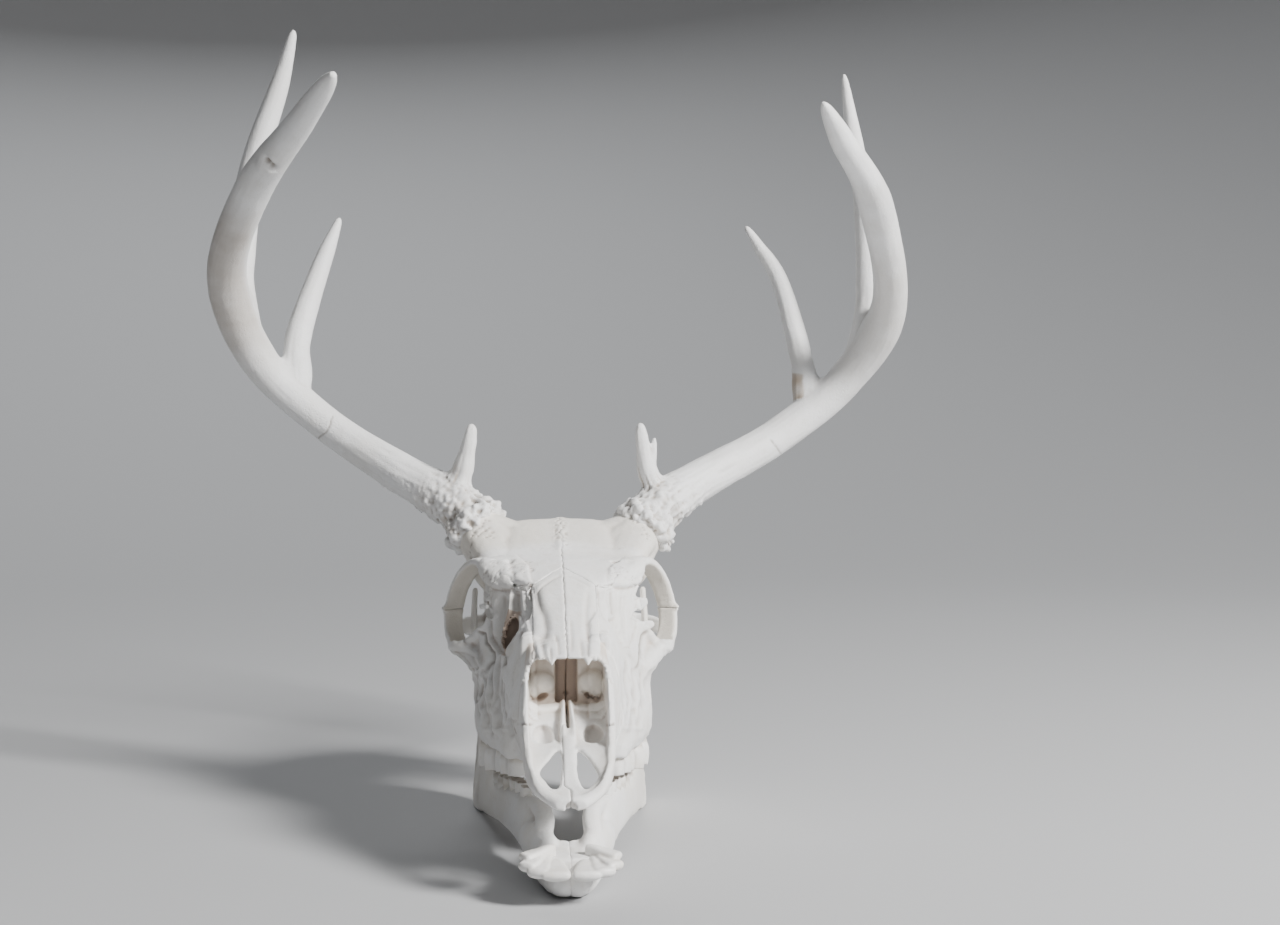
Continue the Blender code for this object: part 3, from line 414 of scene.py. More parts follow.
def blade_from(name, rows):
    """A thin bent blade over rows of points, for parting bones."""
    sheet = draped_grid(name, rows)
    thick = sheet.modifiers.new("thick", "SOLIDIFY")
    thick.thickness = SEAM
    thick.offset = 0
    thick.use_even_offset = True
    apply_modifiers(sheet)
    return sheet


def spaced(profile, step):
    """A line of straight pieces with points every step or so."""
    profile = np.array(profile, float)
    found = [profile[:1]]
    for a, b in zip(profile, profile[1:]):
        count = max(int(np.linalg.norm(b - a) / step), 1)
        found.append(a + (b - a) * (np.arange(1, count + 1) / count)[:, None])
    return np.concatenate(found)


# ---------------- cranium

# Midline of the roof of the skull, seen from the side.
ROOF_Z = line((0, 1), (8, 4), (20, 10), (35, 19), (50, 31), (60, 43), (66, 53), (80, 58.5),
              (100, 66.5), (120, 74.5), (143, 83.5), (157, 87), (172, 89.5), (190, 96),
              (210, 104), (222, 101.5), (240, 94), (262, 82), (276, 68), (284, 56))

# Half outline of the upper jaw, by the places of its corners from the palate to the roof.
PALATE_Z = line((0, -4.4), (8, -4), (14, -1.5), (36, 11.5), (50, 14), (62, 13), (80, 9),
                (100, 6.5), (150, 5.5), (157, 9), (163, 26))
SOCKET_X = line((0, 5), (4, 10), (8, 13), (20, 16.5), (35, 17.5), (62, 17), (74, 20),
                (80, 27), (100, 30.5), (120, 36.5), (135, 39.5), (150, 38.5), (157, 36.5),
                (163, 33))
SOCKET_Z = line((0, -3.6), (8, 0), (35, 1.5), (60, 3.5), (72, 4), (80, 3.4), (150, 3), (157, 6),
                (163, 24))
CHEEK_X = line((0, 6), (8, 14.2), (20, 17.6), (35, 19.8), (50, 20.6), (66, 22), (80, 27),
               (100, 32.5), (120, 38.5), (135, 41.6), (150, 42.5), (163, 44))
CHEEK_Z = line((0, -2), (8, 2.5), (20, 6), (35, 11), (50, 17), (66, 19), (80, 16), (100, 18),
               (135, 23), (157, 30), (163, 38))
FLANK_X = line((0, 5.5), (8, 13.8), (20, 17.4), (35, 19.8), (50, 20.5), (60, 20.6), (66, 21),
               (80, 22.5), (100, 24.5), (120, 27), (135, 30), (150, 37), (163, 42))
FLANK_Z = line((0, -1), (8, 3), (20, 8), (35, 16.5), (50, 27), (60, 36), (66, 38), (80, 41),
               (100, 46), (120, 53), (135, 58), (163, 64))
SHOULDER_X = line((0, 4), (8, 12.6), (20, 16.4), (35, 18.8), (50, 19.2), (60, 18.2), (68, 15.5),
                  (80, 14.5), (100, 14.5), (120, 15.5), (135, 19), (150, 31), (163, 39))
SHOULDER_Z = line((0, 0.5), (8, 3.8), (20, 9.8), (35, 18.6), (50, 30.5), (60, 41), (68, 50.5),
                  (80, 55.5), (100, 63), (120, 71), (135, 76.5), (150, 80), (163, 84))


def snout():
    """The upper jaw from the tip to the front of the orbits, without its hollows."""
    return sleeve("snout", [halved_ring(y, [
        (0, PALATE_Z(y)),
        (SOCKET_X(y) * 0.62, (PALATE_Z(y) * 2 + SOCKET_Z(y)) / 3),
        (SOCKET_X(y), SOCKET_Z(y)),
        (CHEEK_X(y), CHEEK_Z(y)),
        (FLANK_X(y), FLANK_Z(y)),
        (SHOULDER_X(y), SHOULDER_Z(y)),
        (SHOULDER_X(y) * 0.5, (SHOULDER_Z(y) + 2 * ROOF_Z(y)) / 3),
        (0, ROOF_Z(y)),
    ]) for y in np.linspace(0.5, 163, 110)])


NASAL_TIP_Y = 57.5
NASAL_TIP_Z = 51.8
NASAL_HALF_WIDTH = line((57, 11.5), (66, 13), (80, 13.5))


def nasal_tips():
    """The free front ends of the nasal bones."""
    rings = []
    for y in np.linspace(NASAL_TIP_Y, NASAL_TIP_Y + 20, 14):
        top = NASAL_TIP_Z + (ROOF_Z(80) - NASAL_TIP_Z) * (y - NASAL_TIP_Y) / (80 - NASAL_TIP_Y)
        wide = NASAL_HALF_WIDTH(y)
        rings.append(halved_ring(y, [
            (0, top - 1.6), (wide * 0.6, top - 1.9), (wide, top - 2.8),
            (wide + 0.7, top - 1.9), (wide * 0.7, top - 0.5), (0, top),
        ], 16))
    return sleeve("nasal_tips", rings)


def nasal_prong(side):
    """The small point that hangs from the front edge of a nasal bone."""
    x = 9.2 if side > 0 else 6.9
    path = mirrored([(x + 0.4, 66, 52.6), (x, 61.5, 50.6), (x, 60.4, 48.5)], side)
    return bar("prong", path, (1, 0, 0), line((0, 2.6), (0.6, 1.7), (1, 0.4)),
               line((0, 1.4), (0.6, 1.1), (1, 0.5)), 16, 12)


ROOF_HALF_WIDTH = line((136, 18), (150, 32), (160, 39), (172, 42), (186, 44), (198, 43.5),
                       (212, 40), (224, 30))
ROOF_EDGE_Z = line((136, 76), (150, 80), (160, 83.5), (172, 85.5), (186, 85), (198, 89),
                   (212, 96), (224, 90))
ROOF_SIDE_Z = line((136, 77), (150, 82.8), (160, 85.8), (172, 87.6), (190, 94.6), (210, 102.4),
                   (224, 98))


def roof():
    """The two frontals' roof between and over the orbits."""
    rings = []
    for y in np.linspace(136, 224, 60):
        wide, edge, top = ROOF_HALF_WIDTH(y), ROOF_EDGE_Z(y), ROOF_Z(y)
        rings.append(halved_ring(y, [
            (0, top - 18), (wide * 0.6, edge - 10), (wide - 1, edge - 5), (wide, edge - 1.5),
            (wide - 3, edge + 1), (wide * 0.55, ROOF_SIDE_Z(y)), (0, top),
        ]))
    return sleeve("roof", rings)


WALL_HALF_WIDTH = line((140, 27), (152, 24), (162, 18), (176, 16), (190, 19), (205, 29),
                       (220, 35))
WALL_LOW_Z = line((140, 12), (165, 30), (185, 36), (205, 34), (220, 32))
CASE_HALF_WIDTH = line((196, 20), (206, 31), (218, 37), (236, 39.5), (252, 38.5), (265, 34),
                       (274, 26), (280, 16))
CASE_LOW_Z = line((196, 40), (210, 34), (235, 30), (262, 28), (274, 30), (280, 34))


def upright_ovals(name, half_width, low_z, places, below_roof, power):
    """A block across the middle of the skull, an upright oval at each place."""
    rings = []
    for y in places:
        low, high = low_z(y), ROOF_Z(y) - below_roof
        rings.append(oval((0, y, (low + high) / 2), (half_width(y), 0, 0),
                          (0, 0, (high - low) / 2), 44, power))
    return sleeve(name, rings)


def back_of_head():
    """The crest, the condyles, the two spurs beside them, the ear bones and the base."""
    crest = [(-34, 259, 46), (-30, 266, 60), (-16, 272, 67.5), (0, 275, 67.5), (16, 272, 67.5),
             (30, 266, 60), (34, 259, 46)]
    made = [
        bar("nuchal_crest", crest, (0, 1, 0.3), line((0, 3), (0.5, 5), (1, 3)),
            line((0, 3), (0.5, 3.4), (1, 3)), 50),
        bar("base_bar", [(0, 172, 37), (0, 210, 33), (0, 245, 30), (0, 276, 33)], (1, 0, 0),
            line((0, 7), (0.6, 9), (1, 12)), line((0, 4), (1, 5)), 40),
        bar("knob_of_crest", [(0, 268, 70), (0, 277, 67), (0, 279, 60)], (1, 0, 0),
            line((0, 5), (1, 3)), line((0, 3), (1, 1.6)), 12),
    ]
    for side in (-1, 1):
        made.append(ball("condyle", mirrored((13, 280.5, 39), side), (8.5, 7, 10.5),
                         (18 * side, "Y")))
        spur = mirrored([(29, 262, 44), (29, 266, 28), (27.5, 267, 14)], side)
        made.append(bar("spur", spur, (1, 0.3, 0), line((0, 8), (1, 2.6)),
                        line((0, 5.5), (1, 1.9))))
        made.append(ball("ear_bone", mirrored((21, 248, 25), side), (8, 11, 7.5),
                         (20 * side, "Z")))
        made.append(ball("ear_bone_rib", mirrored((17, 243, 21), side), (2.2, 8, 3),
                         (24 * side, "Z")))
        made.append(tube("ear_opening", smooth_path(
            mirrored([(24, 248, 40), (33, 249, 44), (40.5, 249, 46.5)], side), 12), 6.2))
        wing = mirrored([(12, 158, 18), (13, 176, 20), (13, 198, 27)], side)
        made.append(bar("palate_wing", wing, (0, 0, 1), line((0, 9), (0.5, 11), (1, 9)),
                        line((0, 2.6), (1, 2.2))))
    return made


ORBIT_CENTRE = np.array((43.6, 172.5, 63.5))
ORBIT_RADIUS = 21
ORBIT_FORWARD = math.radians(26)  # how far each orbit looks forward of straight sideways
ORBIT_UPWARD = math.radians(14)


def orbit_axes(side):
    """The way an orbit looks, its backward way and its upward way."""
    out = np.array((math.cos(ORBIT_FORWARD) * math.cos(ORBIT_UPWARD),
                    -math.sin(ORBIT_FORWARD) * math.cos(ORBIT_UPWARD), math.sin(ORBIT_UPWARD)))
    back = np.array((math.sin(ORBIT_FORWARD), math.cos(ORBIT_FORWARD), 0))
    up = np.cross(out, back)
    up *= np.sign(up[2])
    return mirrored(out, side), mirrored(back, side), mirrored(up, side)


def orbit_ring(side):
    """The rim round the eye; its rear part is the free bar behind the eye."""
    out, back, up = orbit_axes(side)
    turn = (2 * np.pi * np.arange(24) / 24)[:, None]
    path = mirrored(ORBIT_CENTRE, side) + (back * np.cos(turn) + up * np.sin(turn)) * ORBIT_RADIUS
    return bar("orbit_ring", path, out,
               line((0, 5.2), (0.25, 5), (0.5, 4), (0.75, 5.5), (1, 5.2)),
               line((0, 2.1), (0.2, 2.8), (0.5, 3), (0.75, 3.4), (0.9, 2.6), (1, 2.1)),
               90, 18, closed=True)


CHEEKBONE = ((37, 140, 34), (44, 153, 41), (51.5, 167, 44), (54, 184, 44), (54.2, 204, 45),
             (52.5, 220, 46.5), (47, 233, 47), (37, 242, 47))
PEDICLE_ROOT = (31, 203, 84)
BURR_CENTRE = (42, 214, 98)


def side_parts(side):
    """The rim of the eye, the cheekbone and its arch, the jaw bearing and the antler's post."""
    root, top = mirrored(PEDICLE_ROOT, side), mirrored(BURR_CENTRE, side)
    post = root + (top - root) * np.linspace(-0.7, 1, 20)[:, None]
    return [
        orbit_ring(side),
        bar("cheekbone", mirrored(CHEEKBONE, side), (0, 0, 1),
            line((0, 6), (0.12, 4.6), (0.2, 4), (0.35, 4.2), (0.5, 4.6), (0.75, 4), (1, 5)),
            line((0, 5), (0.15, 4.5), (0.35, 3.2), (0.5, 2.4), (0.75, 2.3), (1, 4)), 80, 18),
        ball("jaw_bearing", mirrored((41, 238, 44.5), side), (12, 9, 4.5)),
        tube("pedicle", post, line((0, 15), (0.35, 16.2), (0.7, 14), (1, 12.9)), 36),
        # the roof's rear edge rises toward the antlers' posts
        bar("post_web", mirrored([(13, 207, 96.4), (20, 209, 97.2), (27, 210.5, 98.8),
                                  (33, 212, 101)], side), (0, 1, 0), 9,
            line((0, 4.2), (1, 5.4)), 20),
        bar("post_front", mirrored([(30, 178, 84), (34, 190, 88.5), (38, 203, 94)], side),
            (1, 0, 0), line((0, 9), (1, 12)), line((0, 5), (1, 8)), 20),
        # joint of the free bar behind the eye
        ball("bar_joint", mirrored((58.2, 189.5, 60.2), side), (1.7, 4.4, 1.5)),
    ]


# Cheek teeth: distance of each from the tip, its length and width, and how far it stands out of
# the bone. The crowns of the upper row lie sideways from their sockets by UPPER_STAND.
UPPER_TEETH = ((84, 11, 9.5, 4.6), (95.5, 11, 11, 5.8), (106.5, 10, 12, 7),
               (119, 13.5, 13.5, 8.2), (133.5, 14, 14.5, 8.8), (148.5, 14.5, 14, 8.4))
UPPER_STAND = line((84, -1.2), (95.5, 0.8), (106.5, 0.4), (119, 1.7), (148.5, 1.3))
LOWER_TEETH = ((83, 8.5, 5.5, 5.6), (93.5, 10.5, 6.5, 5.8), (104.5, 10.5, 7.5, 6),
               (117.5, 13, 8.5, 6.2), (132, 14, 9, 6.4), (149, 18, 8.5, 6.2))


def socket_swells(side):
    """The low swells of the upper jaw over the roots of its teeth."""
    made = []
    for n, (y, long, *_) in enumerate(UPPER_TEETH):
        for k in (-0.24, 0.26):
            along = y + k * long
            tall = 0.55 + 0.2 * math.sin(5 * n + 9 * k)
            foot = (SOCKET_X(along) - 1.6, along, 5.2)
            mid = (CHEEK_X(along) - 2, along + 1, CHEEK_Z(along) * tall)
            head = (CHEEK_X(along) - 3.5, along + 2, CHEEK_Z(along) * (tall + 0.6))
            made.append(tube("socket_swell", smooth_path(mirrored([foot, mid, head], side), 9),
                             line((0, 2.0), (0.5, 2.5), (1, 1.6)), 12))
    return made


NOSE_HALF_WIDTH = line((4, 6), (9, 10.5), (16, 14), (28, 16.8), (62, 17.6), (100, 15))
NOSE_FLOOR_Z = line((4, 1.6), (14, 3.5), (36, 15.5), (50, 18), (64, 24.5), (76, 27), (100, 29))
NOSE_CEILING_Z = line((4, 30), (50, 60), (59.5, 60), (60.5, 51.2), (64, 51), (80, 54), (100, 60))
NOSE_END_Y = 93


def nose_hollow():
    """The hollow of the nose, open at the front and the top of the muzzle."""
    rings = []
    for y in np.linspace(4, NOSE_END_Y, 60):
        half, low, high = NOSE_HALF_WIDTH(y), NOSE_FLOOR_Z(y), NOSE_CEILING_Z(y)
        rings.append(smooth_path([(x, y, z) for x, z in (
            (0, low), (half * 0.6, low), (half * 0.9, low + 1), (half, low + 4.5),
            (half, high - 6), (half * 0.85, high - 1.5), (half * 0.6, high), (0, high),
            (-half * 0.6, high), (-half * 0.85, high - 1.5), (-half, high - 6),
            (-half, low + 4.5), (-half * 0.9, low + 1), (-half * 0.6, low),
        )], 56, closed=True))
    return sleeve("nose_hollow", rings)


def upright(outline, y):
    """The points of an (x, z) outline on an upright sheet at y."""
    return np.array([(x, y, z) for x, z in outline])


def sighted(ring, y, place):
    """A ring that lies upright at y, moved along the line of sight to place."""
    return EYE + (ring - EYE) * ((place - EYE[1]) / (y - EYE[1]))


def along_sight(name, outline, y, near, far, taper=1.0):
    """A plug with an outline given on an upright sheet at y, run along the line of sight."""
    flat = upright(outline, y)
    middle = flat.mean(axis=0)
    ring = smooth_path(flat, 40, closed=True)
    return sleeve(name, [sighted(middle + (ring - middle) * (1 + (taper - 1) * k), y,
                                 near + (far - near) * k) for k in np.linspace(0, 1, 8)])


SLOTS = (  # the two openings through the sloping front of the palate
    ((-4.8, 16.9), (-3.4, 13), (-3.8, 4.4), (-4.9, 0.8), (-7.7, 0.5), (-10.5, 3.7), (-13, 7.3),
     (-9.1, 12.3)),
    ((3, 16.8), (8.7, 12.1), (12.2, 6.3), (11.9, 4.2), (7.2, -0.1), (4.4, 2.8), (3, 10)),
)


def orbit_hollow(side):
    """The socket of an eye, running in from its rim toward the middle of the skull."""
    out, back, up = orbit_axes(side)
    centre = mirrored(ORBIT_CENTRE, side)
    rings = []
    for reach, size in ((26, 19.6), (15, 19.5), (4, 19.2), (-2, 19), (-8, 18.6), (-14, 17.8),
                        (-20, 16.5), (-25, 15), (-29, 12.5), (-31, 9)):
        middle = centre + out * reach - up * (0.04 * max(-reach, 0))
        rings.append(oval(middle, back * size, up * size, 48))
    return sleeve("orbit_hollow", rings)


# The gap in front of the right eye as seen on a sheet at GAP_Y.
GAP_Y = 138
FACE_GAP = ((-26.4, 60), (-23.1, 63.3), (-20.4, 61.8), (-20.7, 55), (-23.9, 50.6),
            (-27.8, 44.5), (-29, 48.6), (-28, 55.5))

# Front rims of the eye sockets as seen on a sheet at RIM_Y, with their notches and spikes.
RIM_Y = 158
RIMS = (
    ((-49, 84), (-40.6, 82.8), (-37.5, 77), (-34.6, 74.8), (-36.2, 72), (-34.4, 69.6),
     (-37.4, 69.2), (-37.2, 67.4), (-34.2, 66.8), (-35.8, 65.8), (-40.6, 65.7), (-40.4, 63.3),
     (-35.2, 63.4), (-32.8, 61.4), (-33.6, 58.2), (-36.9, 59.8), (-38, 56), (-42, 53.6),
     (-46, 49.5), (-50, 53), (-52, 66)),
    ((50, 84), (43.7, 84.4), (39.6, 80.3), (38.8, 76.2), (36.7, 72.9), (35.5, 70), (35.8, 68.4),
     (41.2, 68.2), (41.8, 65.5), (38.8, 62.4), (34.6, 61.8), (33.9, 59.3), (38.8, 56.6),
     (44.5, 57.6), (47, 50.6), (52, 51), (54, 66)),
)


def rim_cut(outline):
    """A plug with a rim's own corners kept, run along the line of sight past the rim."""
    flat = upright(outline, RIM_Y)
    ring = spaced(np.vstack([flat, flat[:1]]), 0.7)[:-1]
    return sleeve("rim_cut", [sighted(ring, RIM_Y, place) for place in range(141, 172, 5)])


def hollows():
    made = [nose_hollow(), ball("passage", (0, 186, 24), (9.5, 26, 8.5), (8, "X")),
            tube("cord_hole", smooth_path([(0, 300, 49), (0, 284, 50), (0, 258, 53)], 12),
                 line((0, 11), (0.5, 10), (1, 8.5)), 30)]
    for outline in SLOTS:
        made.append(along_sight("palate_slot", outline, 26, 3, 70))
    made.append(along_sight("face_gap", FACE_GAP, GAP_Y, 96, 134, 0.75))
    for side in (-1, 1):
        made.append(orbit_hollow(side))
        # under the cheekbone's start, where the chewing muscle held on
        made.append(ball("cheek_scoop", mirrored((53, 146, 28.5), side), (10, 27, 11),
                         (-30 * side, "Z")))
        made.append(ball("face_hole", mirrored((31.5, 92, 24.5), side), (4, 2.6, 2.2),
                         (38 * side, "Z")))
        made.append(tube("ear_hole", smooth_path(
            mirrored([(30, 248.5, 43), (46, 249.5, 48)], side), 6), 3.6))
        made.append(ball("roof_hole", mirrored((25.6, 160.6, 85), side), (2.1, 2.7, 5),
                         (24 * side, "Z")))
        made.append(ball("temple", mirrored((46, 214, 62), side), (9, 14, 17)))
    made.append(ball("tip_notch", (-0.1, 1.5, -2.6), (2.5, 5, 2.7)))
    return made


def fittings():
    """The keel and scrolls inside the nose, and small parts that stand on the cranium."""
    made = [bar("keel", [(0, 30, 9.5), (0, 40, 14), (0, 50, 18.2), (0, 60, 21.5), (0, 74, 25)],
                (0, 0, 1), line((0, 3), (1, 3.4)), line((0, 3.5), (0.45, 3.6), (1, 2.2)), 30)]
    for side in (-1, 1):
        # thin front rim of the eye's socket, cut to its notches afterwards
        made.append(bar("rim_plate", mirrored([(37, 156.5, 78), (37, 157.5, 68), (38, 158, 58),
                                               (42, 159, 52)], side), (1, 0.25 * side, 0),
                        line((0, 4), (0.5, 6), (1, 5)), 1.3, 24, 14))
        plate = mirrored([(2.5, 46, 18.5), (2.5, 54, 22.2), (2, 64, 26), (1.5, 74, 28.8),
                          (1.4, 80, 29)], side)
        made.append(bar("keel_plate", plate, (0, 0, 1), line((0, 1.6), (0.3, 2.6), (1, 2.4)),
                        line((0, 1.1), (0.5, 0.95), (1, 0.8)), 40, 12))
        # the scroll bone: a panel at each side with a pale swelling low on its front
        made.append(bar("scroll", mirrored([(12.5, 83, 43), (12.5, 90, 43), (12.5, 104, 43)],
                                           side), (0, 0, 1), 16, 7.6, 12, 40, power=9.0))
        made += paired((("scroll_swell", (10.4, 81.4, 38.2), (5.6, 4, 4.9), -16, "Y"),
                        ("scroll_swell", (14.6, 81.6, 35.6), (2.4, 3.4, 4.2), 18, "Y")), side)
        made.append(bar("scroll_sill", mirrored([(18, 74, 28.6), (12, 75.5, 27.2), (5, 77, 27.6),
                                                 (1, 80, 28)], side), (0, 1, 0),
                        5.5, line((0, 2), (1, 1.5)), 20, 14))
    return made


def late_hollows():
    """Holes that go through the fittings as well."""
    made = [ball("mid_hole", (0, 86, 31.4), (2.6, 9, 2.0)),
            ball("keel_channel", (0, 66, 27.5), (1.0, 17, 5.5), (22, "X"))]
    for side in (-1, 1):
        made += paired((
            ("scroll_hole", (11.4, 78, 31.2), (4.7, 9, 2.1), 28, "Y"),
            ("floor_slit", (13, 66, 26.2), (2.3, 5, 0.9), 0, "Z"),
            # an arched niche where the floor of the nose steps up
            ("floor_niche", (11.2, 53, 18.6), (4.7, 9, 3.9), 20, "X"),
        ), side)
    return made


def cranium():
    """The whole upper skull as one carved solid."""
    solids = [snout(), roof(), nasal_tips()] + back_of_head()
    solids.append(upright_ovals("orbit_walls", WALL_HALF_WIDTH, WALL_LOW_Z,
                                np.linspace(140, 220, 50), 6, 3.0))
    solids.append(upright_ovals("brain_case", CASE_HALF_WIDTH, CASE_LOW_Z,
                                np.linspace(196, 280, 60), 1.5, 2.3))
    for side in (-1, 1):
        solids += side_parts(side) + socket_swells(side)
    whole = joined("cranium", solids)
    fuse(whole, WHOLE_GRID, 3)
    cutter = joined("hollows", hollows())
    fuse(cutter, WHOLE_GRID, 1)
    boolean(whole, cutter)
    extra = joined("fittings", fittings())
    fuse(extra, WHOLE_GRID, 1)
    boolean(whole, extra, "UNION")
    for hole in [rim_cut(outline) for outline in RIMS] + late_hollows():
        boolean(whole, hole)
    return whole


# ---------------- sutures

CORONAL_CUT = ((228, 140), (228, 87), (207, 76), (207, 60), (166, 60), (166, -30))
ARCH_CUT = ((214, 20), (211, 70))
FRONTAL_CUT = ((174, 58), (168, 68), (161, 74), (150, 76), (147.5, 82), (146, 110))
PREMAXILLA_CUT = ((60, -30), (66, 4), (98, 70))
NASAL_HALF = 15.2  # the seam beside each nasal bone
NASAL_DEPTH = 5.0
NASAL_SLOPE = 0.395
NASAL_BACK_SLANT = 17  # how much farther forward the nasals' rear seam lies at their sides


def crossing_blade(name, profile, low, high, sway):
    """A blade with a (y, z) profile run across the skull; sway moves its points in y."""
    profile = spaced(profile, 1.6)
    places = np.arange(low, high + 0.1, 1.6)
    rows = np.array([[(x, y, z) for y, z in profile] for x in places])
    rows[:, :, 1] += sway(rows.reshape(-1, 3)).reshape(rows.shape[:2])
    return blade_from(name, rows)


def wander(amount, size, seed):
    return lambda points: amount * grain(points, size, seed)


def coronal_sway(points):
    """A zigzag seam over the roof; straight where the blade runs inside the skull."""
    on_top = soft_step(points[:, 2], 78, 88)
    return on_top * (1.6 * grain(points * (1, 0.2, 0.2), 2.6, 5) + 1.2 * grain(points, 9, 6))


def frontal_sway(points):
    off = np.abs(points[:, 0])
    forward = -NASAL_BACK_SLANT * np.minimum(off / NASAL_HALF, 1) * soft_step(28 - off, 0, 9)
    forward = forward * np.clip((points[:, 2] - 62) / 12, 0, 1)
    return forward + 0.7 * grain(points, 3.2, 8)


def middle_blade(low, high):
    """The seam down the middle of the skull, more crooked on the roof behind the orbits."""
    rows = np.array([[(0, y, z) for z in np.arange(-60, 160, 2.0)]
                     for y in np.arange(low, high, 1.2)])
    flat = rows.reshape(-1, 3)
    crooked = 0.25 + 0.75 * soft_step(flat[:, 1], 176, 188)
    flat[:, 0] += crooked * grain(flat * (1, 1, 0.25), 2.4, 12) * (flat[:, 2] > 40)
    # between the two openings of the palate the seam keeps to one side of the bar
    beside = soft_step(flat[:, 1], 12, 17) * soft_step(58 - flat[:, 1], 0, 6)
    flat[:, 0] -= 2.7 * beside * soft_step(36 - flat[:, 2], 0, 8)
    return blade_from("middle", rows)


def nasal_blade(side):
    """Down the side of a nasal bone and in under it, along the slope of the nose."""
    rows = []
    for y in np.arange(40, 175, 1.6):
        roof_line = 51 + NASAL_SLOPE * (y - 60)
        profile = spaced([(NASAL_HALF, 20), (NASAL_HALF, -NASAL_DEPTH), (-4, -NASAL_DEPTH)], 1.6)
        rows.append([mirrored((x, y, roof_line + z), side) for x, z in profile])
    rows = np.array(rows)
    rows[:, :, 0] += (0.35 * grain(rows.reshape(-1, 3), 4, 15)).reshape(rows.shape[:2])
    return blade_from("nasal_blade", rows)


def bones(whole):
    """The cranium parted along its sutures, as pieces by the names of their CAD nodes."""
    made = parted(
        whole, crossing_blade("coronal", CORONAL_CUT, -80, 80, coronal_sway),
        {"rear": lambda m: m[1] > 190, "front": lambda m: m[1] <= 190},
    )
    rear = made.pop("rear")
    for side, word in SIDES:
        cut = parted(
            rear, crossing_blade("arch", ARCH_CUT, *sorted((44 * side, 70 * side)),
                                 wander(0.8, 2.5, 3)),
            {"braincase": lambda m: abs(m[0]) < 20,
             f"zygomatic_{word}": lambda m, s=side: m[0] * s > 20 and m[1] < 214},
        )
        rear = cut.pop("braincase")
        made.update(cut)
    made["braincase"] = rear
    upper = parted(
        made.pop("front"), crossing_blade("frontal_blade", FRONTAL_CUT, -80, 80, frontal_sway),
        {"frontal": lambda m: m[1] > 155, "face": lambda m: m[1] <= 155},
    )
    made.update(parted(
        upper["frontal"], middle_blade(60, 300),
        {"frontal_left": lambda m: m[0] > 0, "frontal_right": lambda m: m[0] < 0},
    ))
    halves = parted(upper["face"], middle_blade(-60, 300),
                    {"left": lambda m: m[0] > 0, "right": lambda m: m[0] < 0})
    for side, word in SIDES:
        cut = parted(
            halves[word], nasal_blade(side),
            {f"nasal_{word}": lambda m: m[2] > ROOF_Z(m[1]) - 8 and abs(m[0]) < 15 and m[1] > 75,
             "rest": lambda m: m[2] <= ROOF_Z(m[1]) - 8 or m[1] < 75},
        )
        rest = cut.pop("rest")
        made.update(cut)
        made.update(parted(
            rest, crossing_blade("premaxillary", PREMAXILLA_CUT, -80, 80, wander(0.6, 4, 19)),
            {f"premaxilla_{word}": lambda m: m[1] < 66, f"maxilla_{word}": lambda m: m[1] >= 66},
        ))
    return made


# ---------------- relief on the bones

# Tints of a piece: hollow is painted shade in its crevices and shade is painted shade; tan and
# cream are tones of the bone, in places also used as painted shade.
TINTS = ("hollow", "shade", "tan", "cream")
DUSK = 0.35  # strength of a light shade
FELT = 2.5  # how many of its own widths away a mark is still felt
# Crevices, which are painted darker as shade: after how many rounds of evening out they are
# measured, and how deep a full one is.
CREVICES = {3: 0.35, 14: 1.4}


